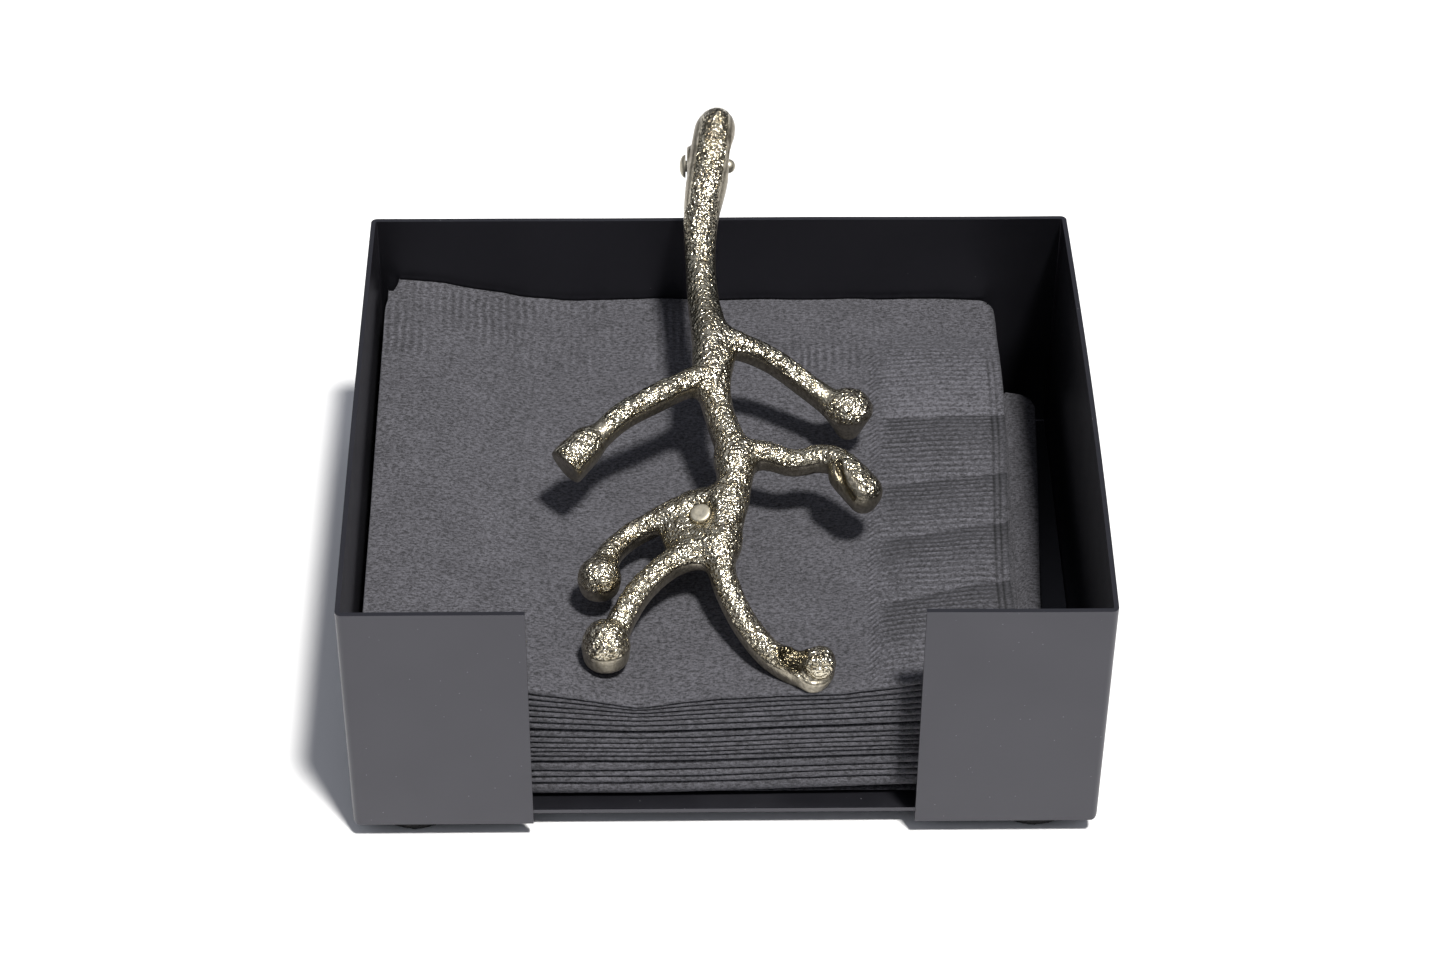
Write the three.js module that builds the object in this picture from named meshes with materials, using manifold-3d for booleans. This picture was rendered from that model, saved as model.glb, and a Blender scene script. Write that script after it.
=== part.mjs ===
// Table-top napkin holder: an open tray folded from one steel sheet, a stack of folded paper
// napkins, and a cast twig on a hinge behind the rear wall that weighs the stack down.
//
// Millimetres, +Z up, -Y is the open front. The pieces are placed from the middle of the tray's
// underside, and the last lines move the whole holder so that its origin is in the middle of its
// footprint, on the surface that the pads stand on.

import * as THREE from 'three';
import { mergeVertices } from 'three/addons/utils/BufferGeometryUtils.js';
import Module from 'manifold-3d';

const wasm = await Module();
wasm.setup();

// ---------------------------------------------------------------- driving dimensions

// tray
const TRAY_WIDTH = 184;
const TRAY_DEPTH = 150.4;
const TRAY_HEIGHT = 72;
const SHEET = 1.2;
const BEND_RADIUS = 1.6;
const LEFT_FLANGE_WIDTH = 44.5;
const RIGHT_FLANGE_WIDTH = 45.2;
const BASE_SETBACK = 3.5;

// pads under the tray
const PAD_RADIUS = 11;
const PAD_HEIGHT = 5;
const PAD_X = 77;
const PAD_Y = 61.4;
const PAD_CHAMFER = 0.6;

// gap kept between pieces that touch on the real holder, and the smaller one under a rivet's head
const GAP = 0.3;
const HEAD_GAP = 0.2;

// how far a cutting shape runs past the faces that it cuts, and how far a drill reaches each way
const OVERCUT = 1;
const DRILL_REACH = 10;

// hinge: the pin lies along X, behind and above the rear wall
const HINGE_X = -3.25;
const HINGE_Y = 79.4;
const HINGE_Z = 85.8;
const OPEN_ANGLE = THREE.MathUtils.degToRad(105);
const PIN_RADIUS = 1.5;
const PIN_HOLE_RADIUS = 1.85;
const KNUCKLE_RADIUS = 5.4;
const KNUCKLE_WIDTH = 10.8;
const LUG_RADIUS = 3.6;
const LUG_WIDTH = 4.4;
const LUG_SIDE_GAP = 0.4;
const LUG_END_GAP = 0.5;
const LUG_ROOT = 0.8;
const LUG_FOOT = 5.5;
const LUG_SHOULDER = 3;

// the pin's left end is a wide shallow dome, and its right end a small round one
const PIN_LEFT_HEAD = { radius: 3.1, height: 1.6 };
const PIN_RIGHT_HEAD = { radius: 1.9, height: 1.9 };

// bracket plate on the outside of the rear wall, and its two rivets
const PLATE_WIDTH = 13;
const PLATE_THICKNESS = 2;
const PLATE_BOTTOM = 45;
const PLATE_TOP = 69.5;
const PLATE_CORNER = 2.5;
const RIVET_HEIGHTS = { upper: 60, lower: 51 };
const RIVET_RADIUS = 1.6;
const RIVET_HOLE_RADIUS = 1.95;
const RIVET_HEAD = { radius: 3, height: 1 };

// napkins
const NAPKIN_COUNT = 18;
const NAPKIN_WIDTH = 163;
const NAPKIN_DEPTH = 141.4;
const NAPKIN_GAP = 0.3;
const SHIFTED_NAPKINS = 5;
const NAPKIN_SHIFT = 8;
const STAGGER_X = 0.45;
const STAGGER_Y = 0.4;

// values that follow from the driving dimensions
const FRONT = -TRAY_DEPTH / 2;
const REAR = TRAY_DEPTH / 2;
const LEFT = -TRAY_WIDTH / 2;
const RIGHT = TRAY_WIDTH / 2;
const STACK_BOTTOM = SHEET + GAP;
const STACK_REAR = REAR - SHEET - GAP;
const STACK_FRONT = STACK_REAR - NAPKIN_DEPTH;
const STACK_LEFT = LEFT + SHEET + 2 * GAP;

// ---------------------------------------------------------------- materials

const steel = { color: 0x1f1f22, roughness: 0.45, metalness: 0.1 };
const nickel = { color: 0xb3aa97, roughness: 0.35, metalness: 1 };
const pinSteel = { color: 0xc4c4c2, roughness: 0.22, metalness: 1 };
const padRubber = { color: 0x121212, roughness: 0.95, metalness: 0 };
const paper = { color: 0x4c4a4e, roughness: 0.95, metalness: 0 };

// ---------------------------------------------------------------- tools

// three.js geometry to a solid that can be joined and cut
function toSolid(geometry) {
  const bare = geometry.clone();
  bare.deleteAttribute('normal');
  bare.deleteAttribute('uv');
  const merged = mergeVertices(bare, 1e-4);
  return new wasm.Manifold(new wasm.Mesh({
    numProp: 3,
    vertProperties: Float32Array.from(merged.attributes.position.array),
    triVerts: Uint32Array.from(merged.index.array),
  }));
}

// solid back to three.js geometry
function toGeometry(solid) {
  const mesh = solid.getMesh();
  const geometry = new THREE.BufferGeometry();
  geometry.setAttribute('position', new THREE.BufferAttribute(mesh.vertProperties, 3));
  geometry.setIndex(new THREE.BufferAttribute(mesh.triVerts, 1));
  geometry.computeVertexNormals();
  return geometry;
}

function piece(name, geometry, finish) {
  const mesh = new THREE.Mesh(geometry, new THREE.MeshStandardMaterial(finish));
  mesh.name = name;
  return mesh;
}

// box from its lowest to its highest corner
function block(low, high) {
  const size = high.map((value, axis) => value - low[axis]);
  const middle = high.map((value, axis) => (value + low[axis]) / 2);
  return new THREE.BoxGeometry(...size).translate(...middle);
}

// round bar along X
function barAlongX(radius, fromX, toX, y, z, sides = 16) {
  const bar = new THREE.CylinderGeometry(radius, radius, toX - fromX, sides);
  return bar.rotateZ(Math.PI / 2).translate((fromX + toX) / 2, y, z);
}

// round bar along Y
function barAlongY(radius, fromY, toY, x, z, sides = 16) {
  const bar = new THREE.CylinderGeometry(radius, radius, toY - fromY, sides);
  return bar.translate(x, (fromY + toY) / 2, z);
}

// rectangle with a radius of its own at each corner: low-low, high-low, high-high, low-high
function roundedRectangle(x0, y0, x1, y1, [a, b, c, d]) {
  const shape = new THREE.Shape();
  shape.moveTo(x0 + a, y0);
  shape.lineTo(x1 - b, y0);
  if (b > 0) shape.absarc(x1 - b, y0 + b, b, -Math.PI / 2, 0);
  shape.lineTo(x1, y1 - c);
  if (c > 0) shape.absarc(x1 - c, y1 - c, c, 0, Math.PI / 2);
  shape.lineTo(x0 + d, y1);
  if (d > 0) shape.absarc(x0 + d, y1 - d, d, Math.PI / 2, Math.PI);
  shape.lineTo(x0, y0 + a);
  if (a > 0) shape.absarc(x0 + a, y0 + a, a, Math.PI, Math.PI * 1.5);
  return shape;
}

const flatExtrude = (shape, depth) => (
  new THREE.ExtrudeGeometry(shape, { depth, bevelEnabled: false, curveSegments: 4 })
);

// shape drawn in X and Z, extruded along Y
function extrudeAlongY(shape, fromY, toY) {
  return flatExtrude(shape, toY - fromY).rotateX(Math.PI / 2).translate(0, toY, 0);
}

// shape drawn in Y and Z, extruded along X
function extrudeAlongX(shape, fromX, toX) {
  const turn = new THREE.Matrix4().set(
    0, 0, 1, fromX,
    1, 0, 0, 0,
    0, 1, 0, 0,
    0, 0, 0, 1,
  );
  return flatExtrude(shape, toX - fromX).applyMatrix4(turn);
}

// ---------------------------------------------------------------- tray

// the tray's envelope, inset by one amount on all sides, with its folds rounded
function envelope(inset, top) {
  const r = BEND_RADIUS - inset;
  const plan = roundedRectangle(LEFT + inset, FRONT + inset, RIGHT - inset, REAR - inset, [r, r, r, r]);
  const front = roundedRectangle(LEFT + inset, inset, RIGHT - inset, top, [r, r, 0, 0]);
  const side = roundedRectangle(FRONT - OVERCUT, inset, REAR - inset, top, [0, r, 0, 0]);
  const walls = toSolid(flatExtrude(plan, top - inset).translate(0, 0, inset));
  const bottomFolds = toSolid(extrudeAlongY(front, FRONT - OVERCUT, REAR + OVERCUT));
  const rearFold = toSolid(extrudeAlongX(side, LEFT - OVERCUT, RIGHT + OVERCUT));
  return walls.intersect(bottomFolds).intersect(rearFold);
}

// hole for a rivet through the rear wall and the bracket's plate
function rivetHole(height) {
  return barAlongY(RIVET_HOLE_RADIUS, REAR - DRILL_REACH, REAR + DRILL_REACH, HINGE_X, height);
}

function trayGeometry() {
  const gapLeft = LEFT + LEFT_FLANGE_WIDTH;
  const gapRight = RIGHT - RIGHT_FLANGE_WIDTH;
  const frontGap = block(
    [gapLeft, FRONT - OVERCUT, -OVERCUT],
    [gapRight, FRONT + SHEET + GAP, TRAY_HEIGHT + OVERCUT],
  );
  const slit = block(
    [LEFT + SHEET, FRONT + SHEET, -OVERCUT],
    [RIGHT - SHEET, FRONT + BASE_SETBACK, SHEET + OVERCUT],
  );
  let tray = envelope(0, TRAY_HEIGHT)
    .subtract(envelope(SHEET, TRAY_HEIGHT + OVERCUT))
    .subtract(toSolid(frontGap))
    .subtract(toSolid(slit));
  for (const height of Object.values(RIVET_HEIGHTS)) {
    tray = tray.subtract(toSolid(rivetHole(height)));
  }
  return toGeometry(tray);
}

// ---------------------------------------------------------------- pads

function padGeometry(x, y) {
  const profile = [
    [0, -PAD_HEIGHT],
    [PAD_RADIUS - PAD_CHAMFER, -PAD_HEIGHT],
    [PAD_RADIUS, -PAD_HEIGHT + PAD_CHAMFER],
    [PAD_RADIUS, -GAP],
    [0, -GAP],
  ].map(([r, z]) => new THREE.Vector2(r, z));
  return new THREE.LatheGeometry(profile, 28).rotateX(Math.PI / 2).translate(x, y, 0);
}

// ---------------------------------------------------------------- bracket and rivets

const plateFront = REAR + GAP;
const plateRear = plateFront + PLATE_THICKNESS;

// hole for the pin through the bracket's lug and the twig's fork
function pinHole() {
  return barAlongX(
    PIN_HOLE_RADIUS, HINGE_X - DRILL_REACH, HINGE_X + DRILL_REACH, HINGE_Y, HINGE_Z,
  );
}

function bracketGeometry() {
  const plate = roundedRectangle(
    HINGE_X - PLATE_WIDTH / 2, PLATE_BOTTOM,
    HINGE_X + PLATE_WIDTH / 2, PLATE_TOP,
    [PLATE_CORNER, PLATE_CORNER, PLATE_CORNER, PLATE_CORNER],
  );
  const lugFront = HINGE_Y - LUG_RADIUS;
  const lugRear = HINGE_Y + LUG_RADIUS;
  const lug = new THREE.Shape();
  lug.moveTo(plateRear - LUG_ROOT, PLATE_TOP - LUG_FOOT);
  lug.lineTo(plateRear, PLATE_TOP - LUG_FOOT);
  lug.lineTo(lugRear, PLATE_TOP + LUG_SHOULDER);
  lug.lineTo(lugRear, HINGE_Z);
  lug.absarc(HINGE_Y, HINGE_Z, LUG_RADIUS, 0, Math.PI);
  lug.lineTo(lugFront, PLATE_TOP - LUG_ROOT);
  const bracket = toSolid(extrudeAlongY(plate, plateFront, plateRear))
    .add(toSolid(extrudeAlongX(lug, HINGE_X - LUG_WIDTH / 2, HINGE_X + LUG_WIDTH / 2)));
  let drilled = bracket.subtract(toSolid(pinHole()));
  for (const height of Object.values(RIVET_HEIGHTS)) {
    drilled = drilled.subtract(toSolid(rivetHole(height)));
  }
  return toGeometry(drilled);
}

// outline of a domed head, from the axis at its crown down to its flat face on the work
function headProfile(crown, { radius, height }, sign) {
  const steps = 4;
  return Array.from({ length: steps + 1 }, (unused, i) => {
    const angle = (i / steps) * Math.PI / 2;
    const along = crown + sign * height * (1 - Math.cos(angle));
    return new THREE.Vector2(radius * Math.sin(angle), along);
  });
}

// a rivet along its lathe axis: crown, shank and the second head
function rivetProfile(start, end, shank, first, second) {
  return [
    ...headProfile(start, first, 1),
    new THREE.Vector2(shank, start + first.height),
    new THREE.Vector2(shank, end - second.height),
    ...headProfile(end, second, -1).reverse(),
  ];
}

function bracketRivetGeometry(height) {
  const inside = REAR - SHEET - HEAD_GAP - RIVET_HEAD.height;
  const outside = plateRear + HEAD_GAP + RIVET_HEAD.height;
  const profile = rivetProfile(inside, outside, RIVET_RADIUS, RIVET_HEAD, RIVET_HEAD);
  return new THREE.LatheGeometry(profile, 16).translate(HINGE_X, 0, height);
}

function hingePinGeometry() {
  const start = HINGE_X - KNUCKLE_WIDTH / 2 - HEAD_GAP - PIN_LEFT_HEAD.height;
  const end = HINGE_X + KNUCKLE_WIDTH / 2 + HEAD_GAP + PIN_RIGHT_HEAD.height;
  const profile = rivetProfile(start, end, PIN_RADIUS, PIN_LEFT_HEAD, PIN_RIGHT_HEAD);
  return new THREE.LatheGeometry(profile, 16)
    .rotateZ(-Math.PI / 2)
    .translate(0, HINGE_Y, HINGE_Z);
}

// ---------------------------------------------------------------- napkins

// height of the stack's top: puffed up at the rear, dipped at the front where the twig presses,
// and curled up in the rear left corner
const STACK_X = [-95, -70, -50, -20, 0, 30, 50, 85];
const FRONT_HEIGHTS = [41, 39.5, 38, 32.5, 35, 37, 41, 43];
const REAR_HEIGHTS = [52, 47.5, 46, 46, 46, 45.5, 45, 45];
const STACK_Y_STEPS = 4;

function between(xs, values, x) {
  const last = xs.length - 2;
  const i = Math.min(last, Math.max(0, xs.findIndex((edge) => edge > x) - 1));
  const share = (x - xs[i]) / (xs[i + 1] - xs[i]);
  return values[i] + share * (values[i + 1] - values[i]);
}

function stackTop(x, y) {
  const share = THREE.MathUtils.clamp((y - STACK_FRONT) / NAPKIN_DEPTH, 0, 1);
  const front = between(STACK_X, FRONT_HEIGHTS, x);
  const rear = between(STACK_X, REAR_HEIGHTS, x);
  return front + (rear - front) * share;
}

// lower side of napkin number index, counted from the bottom; it is also the top of the one below
function layerHeight(index, x, y) {
  return STACK_BOTTOM + (stackTop(x, y) - STACK_BOTTOM) * (index / NAPKIN_COUNT);
}

// closed slab between two height functions over a grid
function slab(xs, ys, lower, upper) {
  const columns = xs.length;
  const layer = columns * ys.length;
  const points = [];
  for (const height of [lower, upper]) {
    for (const y of ys) {
      for (const x of xs) points.push(x, y, height(x, y));
    }
  }
  const faces = [];
  const quad = (a, b, c, d) => faces.push(a, b, c, a, c, d);
  for (let j = 0; j + 1 < ys.length; j += 1) {
    for (let i = 0; i + 1 < columns; i += 1) {
      const a = j * columns + i;
      quad(a, a + columns, a + columns + 1, a + 1);
      quad(a + layer, a + layer + 1, a + layer + columns + 1, a + layer + columns);
    }
  }
  const rim = [];
  for (let i = 0; i < columns; i += 1) rim.push(i);
  for (let j = 1; j < ys.length; j += 1) rim.push(j * columns + columns - 1);
  for (let i = columns - 2; i >= 0; i -= 1) rim.push((ys.length - 1) * columns + i);
  for (let j = ys.length - 2; j > 0; j -= 1) rim.push(j * columns);
  rim.forEach((a, i) => {
    const b = rim[(i + 1) % rim.length];
    quad(a, b, b + layer, a + layer);
  });
  const geometry = new THREE.BufferGeometry();
  geometry.setAttribute('position', new THREE.Float32BufferAttribute(points, 3));
  geometry.setIndex(faces);
  return geometry;
}

// each napkin lies a little out of line with the next, and the lowest ones further to the right
function napkinGeometry(index) {
  const sideways = index < SHIFTED_NAPKINS ? NAPKIN_SHIFT : 0;
  const left = STACK_LEFT + sideways + STAGGER_X * (1 + Math.sin(index * 2.4));
  const front = STACK_FRONT + STAGGER_Y * Math.sin(index * 1.7);
  const right = left + NAPKIN_WIDTH;
  const rear = Math.min(STACK_REAR, front + NAPKIN_DEPTH);
  const xs = [left, ...STACK_X.filter((x) => x > left + 1 && x < right - 1), right];
  const ys = Array.from({ length: STACK_Y_STEPS + 1 }, (unused, j) => (
    front + (rear - front) * j / STACK_Y_STEPS
  ));
  const lower = (x, y) => layerHeight(index, x, y);
  const upper = (x, y) => layerHeight(index + 1, x, y) - NAPKIN_GAP;
  return slab(xs, ys, lower, upper);
}

// ---------------------------------------------------------------- twig

// each limb: points along its middle as [x, y, z, radius], then the bud that it ends in, with its
// middle, the direction it points in, and its radius across and along; a bud with no height of
// its own rests on the napkins
const LIMBS = {
  stem: {
    path: [
      [-1.8, 84.6, 95.2, 4.9],
      [-2.4, 78, 91, 5.1],
      [-4, 70, 85.8, 5],
      [-5, 62, 80.8, 4.3],
      [-5.2, 52, 75.2, 3.7],
      [-4.5, 40, 72, 3.9],
      [-2.8, 26, 70.7, 4.7],
      [-2.6, 15, 67.8, 4.4],
      [-0.8, 4, 64.6, 3.8],
      [3, -9, 60.8, 4.3],
      [2, -19, 57.9, 4.2],
      [-0.8, -32, 54.2, 3.9],
      [-0.4, -41, 51.5, 3.2],
      [3.6, -50, 47, 3.1],
      [9.6, -58, 43.4, 3.2],
    ],
    bud: { at: [21, -63.6], along: [0.95, -0.25, 0], across: 5.2, length: 6.2 },
  },
  upperRight: {
    path: [[-2, 27, 70.5, 3.8], [5, 25, 69.8, 3.1], [13, 23.8, 66, 2.9], [21, 20, 61.6, 3.1]],
    bud: { at: [32.6, 12.2, 57.2], along: [0.35, -0.3, -1], across: 5.2, length: 6.6 },
  },
  upperLeft: {
    path: [[-2.6, 15, 68.5, 3.8], [-9, 10.5, 69.8, 3.1], [-17, 5.5, 69.3, 3.1], [-25, 1.3, 67.3, 3.2]],
    bud: { at: [-37.6, -8.8, 62.2], along: [-0.75, -0.6, -0.35], across: 5.1, length: 6 },
  },
  middleRight: {
    path: [[3, -8, 61.2, 3.8], [10, -7, 61.3, 3.2], [17.5, -9, 60.4, 2.9], [24, -8.7, 61.5, 3.2]],
    bud: { at: [34, -20, 60.8], along: [0.45, -0.85, -0.25], across: 5.1, length: 6.8 },
  },
  middleLeft: {
    path: [[1, -20, 57.5, 4], [-8, -20, 55.3, 3.3], [-16, -21.7, 52.6, 2.9], [-23, -24.5, 50.2, 3]],
    bud: { at: [-30.8, -37.6, 49.6], along: [-0.3, -0.9, -0.3], across: 5.5, length: 6 },
  },
  lowerLeft: {
    path: [[-1, -32, 54, 3.8], [-9.5, -35, 53.2, 3.1], [-15.5, -39, 52, 3], [-21, -43.5, 49, 3.1]],
    bud: { at: [-29, -56.2], along: [-0.45, -0.8, 0], across: 5.4, length: 7 },
  },
};
const LIMB_END_RADIUS = 3.9;

// round limb along a smooth curve through its points, closed by a fan at each end
function limbGeometry(points, sides, stepsPerSpan) {
  const curve = new THREE.CatmullRomCurve3(points.map(([x, y, z]) => new THREE.Vector3(x, y, z)));
  const radii = new THREE.SplineCurve(points.map(([, , , r], i) => new THREE.Vector2(i, r)));
  const steps = (points.length - 1) * stepsPerSpan;
  const up = new THREE.Vector3(0, 0, 1);
  const vertices = [];
  for (let i = 0; i <= steps; i += 1) {
    const centre = curve.getPoint(i / steps);
    const tangent = curve.getTangent(i / steps);
    const radius = radii.getPoint(i / steps).y;
    const side = new THREE.Vector3().crossVectors(up, tangent).normalize();
    const top = new THREE.Vector3().crossVectors(tangent, side);
    for (let k = 0; k < sides; k += 1) {
      const angle = (k / sides) * Math.PI * 2;
      const spot = centre.clone()
        .addScaledVector(side, radius * Math.cos(angle))
        .addScaledVector(top, radius * Math.sin(angle));
      vertices.push(...spot.toArray());
    }
  }
  const faces = [];
  for (let i = 0; i < steps; i += 1) {
    for (let k = 0; k < sides; k += 1) {
      const a = i * sides + k;
      const b = i * sides + (k + 1) % sides;
      faces.push(a, b, b + sides, a, b + sides, a + sides);
    }
  }
  const lastRing = steps * sides;
  for (let k = 1; k + 1 < sides; k += 1) {
    faces.push(0, k + 1, k);
    faces.push(lastRing, lastRing + k, lastRing + k + 1);
  }
  const geometry = new THREE.BufferGeometry();
  geometry.setAttribute('position', new THREE.Float32BufferAttribute(vertices, 3));
  geometry.setIndex(faces);
  return geometry;
}

function ellipsoid(at, along, across, length) {
  const turn = new THREE.Quaternion().setFromUnitVectors(
    new THREE.Vector3(0, 1, 0),
    new THREE.Vector3(...along).normalize(),
  );
  return new THREE.SphereGeometry(1, 12, 8)
    .scale(across, length, across)
    .applyQuaternion(turn)
    .translate(...at);
}

// side view of the slot for the lug: it clears the lug from the rest position to fully open
function slotShape() {
  const r = LUG_RADIUS + LUG_END_GAP;
  const reach = 40;
  const lift = OPEN_ANGLE - Math.PI / 2;
  const slot = new THREE.Shape();
  slot.moveTo(HINGE_Y - r, HINGE_Z - reach);
  slot.lineTo(HINGE_Y + reach, HINGE_Z - reach);
  slot.lineTo(
    HINGE_Y - r * Math.sin(lift) + reach * Math.cos(lift),
    HINGE_Z + r * Math.cos(lift) + reach * Math.sin(lift),
  );
  slot.absarc(HINGE_Y, HINGE_Z, r, Math.PI / 2 + lift, Math.PI);
  return slot;
}

// solid web in the fork of the middle left and lower left branches, with a round plug set in it
const WEB = { at: [-6.5, -26.5, 54.3], radius: 9, thickness: 3, facing: [-0.25, -0.27, 1] };
const PLUG = { at: [-5.2, -24.4, 55.2], radius: 2.7, top: 3.1, crown: 0.7, depth: 1.6 };

// turns the Y axis to the direction that the web faces, then moves to a place on it
function onWeb(geometry, at) {
  const turn = new THREE.Quaternion().setFromUnitVectors(
    new THREE.Vector3(0, 1, 0),
    new THREE.Vector3(...WEB.facing).normalize(),
  );
  return geometry.applyQuaternion(turn).translate(...at);
}

function plugGeometry() {
  const { radius, top, crown, depth } = PLUG;
  const profile = [
    new THREE.Vector2(0, -depth + GAP),
    new THREE.Vector2(radius, -depth + GAP),
    ...headProfile(top, { radius, height: crown }, -1).reverse(),
  ];
  return onWeb(new THREE.LatheGeometry(profile, 16), PLUG.at);
}

function twigGeometry() {
  const parts = [];
  for (const { path, bud } of Object.values(LIMBS)) {
    const [x, y, z = stackTop(x, y) + bud.across + GAP] = bud.at;
    const sides = path.length > 4 ? 10 : 8;
    parts.push(toSolid(limbGeometry([...path, [x, y, z, LIMB_END_RADIUS]], sides, 2)));
    parts.push(toSolid(ellipsoid([x, y, z], bud.along, bud.across, bud.length)));
  }
  const [tailX, tailY, tailZ, tailRadius] = LIMBS.stem.path[0];
  parts.push(toSolid(ellipsoid([tailX, tailY, tailZ], [0, 1, 0], tailRadius, tailRadius)));
  let twig = parts.reduce((joined, part) => joined.add(part));
  const web = new THREE.SphereGeometry(1, 14, 8).scale(WEB.radius, WEB.thickness, WEB.radius);
  const plugHole = new THREE.CylinderGeometry(
    PLUG.radius + GAP, PLUG.radius + GAP, DRILL_REACH, 16,
  ).translate(0, DRILL_REACH / 2 - PLUG.depth, 0);
  twig = twig.add(toSolid(onWeb(web, WEB.at))).subtract(toSolid(onWeb(plugHole, PLUG.at)));
  const half = KNUCKLE_WIDTH / 2;
  const knuckle = barAlongX(KNUCKLE_RADIUS, HINGE_X - half, HINGE_X + half, HINGE_Y, HINGE_Z, 20);
  const slotHalf = LUG_WIDTH / 2 + LUG_SIDE_GAP;
  const slot = extrudeAlongX(slotShape(), HINGE_X - slotHalf, HINGE_X + slotHalf);
  twig = twig.add(toSolid(knuckle)).subtract(toSolid(slot)).subtract(toSolid(pinHole()));
  return toGeometry(twig);
}

// ---------------------------------------------------------------- assembly

const holder = new THREE.Group();
holder.add(piece('tray_body', trayGeometry(), steel));
for (const [name, x, y] of [
  ['front_left', -PAD_X, -PAD_Y],
  ['front_right', PAD_X, -PAD_Y],
  ['rear_left', -PAD_X, PAD_Y],
  ['rear_right', PAD_X, PAD_Y],
]) {
  holder.add(piece(`foot_pad_${name}`, padGeometry(x, y), padRubber));
}
holder.add(piece('hinge_bracket', bracketGeometry(), nickel));
for (const [name, height] of Object.entries(RIVET_HEIGHTS)) {
  holder.add(piece(`bracket_rivet_${name}`, bracketRivetGeometry(height), steel));
}
holder.add(piece('hinge_pin', hingePinGeometry(), pinSteel));
holder.add(piece('twig_arm', twigGeometry(), nickel));
holder.add(piece('web_plug', plugGeometry(), pinSteel));
for (let index = 0; index < NAPKIN_COUNT; index += 1) {
  const number = String(index + 1).padStart(2, '0');
  holder.add(piece(`napkin_${number}`, napkinGeometry(index), paper));
}

const reach = new THREE.Box3().setFromObject(holder, true);
holder.position.set(0, -(reach.min.y + reach.max.y) / 2, -reach.min.z);

const model = new THREE.Group();
model.add(holder);

export default model;
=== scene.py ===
"""Looks of the napkin holder: a folded black tray, a stack of paper napkins and a cast twig on a
hinge.

Shapes are worked out in millimetres in the tray's own frame, with its origin in the middle of the
tray's underside, and become metres in the part's frame when a mesh is made.
"""

import itertools
import math

import bmesh
import bpy
import numpy as np
from mathutils import Matrix, Vector, noise


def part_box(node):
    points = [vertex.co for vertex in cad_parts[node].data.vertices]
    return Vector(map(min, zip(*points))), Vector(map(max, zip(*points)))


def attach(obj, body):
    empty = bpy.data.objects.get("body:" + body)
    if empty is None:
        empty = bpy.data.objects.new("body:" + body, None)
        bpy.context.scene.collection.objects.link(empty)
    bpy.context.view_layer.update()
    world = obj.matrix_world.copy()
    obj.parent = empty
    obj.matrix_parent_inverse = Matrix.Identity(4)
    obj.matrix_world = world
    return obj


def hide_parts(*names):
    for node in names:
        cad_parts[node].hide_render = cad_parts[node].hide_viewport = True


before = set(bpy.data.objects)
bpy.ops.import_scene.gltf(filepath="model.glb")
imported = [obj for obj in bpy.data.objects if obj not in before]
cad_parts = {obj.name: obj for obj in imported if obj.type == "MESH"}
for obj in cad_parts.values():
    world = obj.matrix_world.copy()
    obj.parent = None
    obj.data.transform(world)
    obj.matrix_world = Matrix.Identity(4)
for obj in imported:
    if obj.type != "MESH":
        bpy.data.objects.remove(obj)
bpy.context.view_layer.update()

# ---------------------------------------------------------------- the tray's frame

MM = 0.001
tray_low, tray_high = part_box("tray_body")
ORIGIN = np.array([(tray_low.x + tray_high.x) / 2, (tray_low.y + tray_high.y) / 2, tray_low.z])


def metres(points):
    return np.asarray(points, float) * MM + ORIGIN


def millimetres(points):
    return (np.asarray(points, float) - ORIGIN) / MM


def box_of(node):
    """Lowest and highest corner of a CAD node, in millimetres in the tray's frame."""
    return [millimetres(corner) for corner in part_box(node)]


(LEFT, FRONT, _), (RIGHT, REAR, TRAY_HEIGHT) = box_of("tray_body")

# hinge: the pin lies along X
PIN_LOW, PIN_HIGH = box_of("hinge_pin")
PIN_LEFT_HEAD = (3.1, 1.6)
PIN_RIGHT_HEAD = (1.9, 1.9)
HEAD_GAP = 0.2
PIN_RADIUS = 1.5
PIN_HOLE_RADIUS = 1.85
HINGE_Y, HINGE_Z = (PIN_LOW[1:] + PIN_HIGH[1:]) / 2
KNUCKLE_LEFT = PIN_LOW[0] + PIN_LEFT_HEAD[1] + HEAD_GAP
KNUCKLE_RIGHT = PIN_HIGH[0] - PIN_RIGHT_HEAD[1] - HEAD_GAP
HINGE_X = (KNUCKLE_LEFT + KNUCKLE_RIGHT) / 2
KNUCKLE_RADIUS = 5.4
SLOT_RADIUS = 4.1
SLOT_HALF_WIDTH = 2.6
SLOT_LIFT = math.radians(15)

# ---------------------------------------------------------------- mesh tools


def add_object(name, mesh):
    obj = bpy.data.objects.new(name, mesh)
    bpy.context.scene.collection.objects.link(obj)
    return obj


def mesh_piece(name, points, faces):
    """Smooth-shaded object from points in millimetres."""
    mesh = bpy.data.meshes.new(name)
    mesh.from_pydata(metres(points).tolist(), [], [list(map(int, f)) for f in faces])
    mesh.validate()
    mesh.shade_smooth()
    return add_object(name, mesh)


def finish_piece(obj, body, material, nodes=()):
    """Gives a piece its material, the body that it rides on and the nodes it replaces."""
    obj.data.materials.clear()
    obj.data.materials.append(material)
    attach(obj, body)
    if nodes:
        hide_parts(*nodes)
    return obj


def freeze(obj):
    """Applies all modifiers."""
    graph = bpy.context.evaluated_depsgraph_get()
    mesh = bpy.data.meshes.new_from_object(obj.evaluated_get(graph))
    obj.modifiers.clear()
    obj.data = mesh
    return obj


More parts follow.
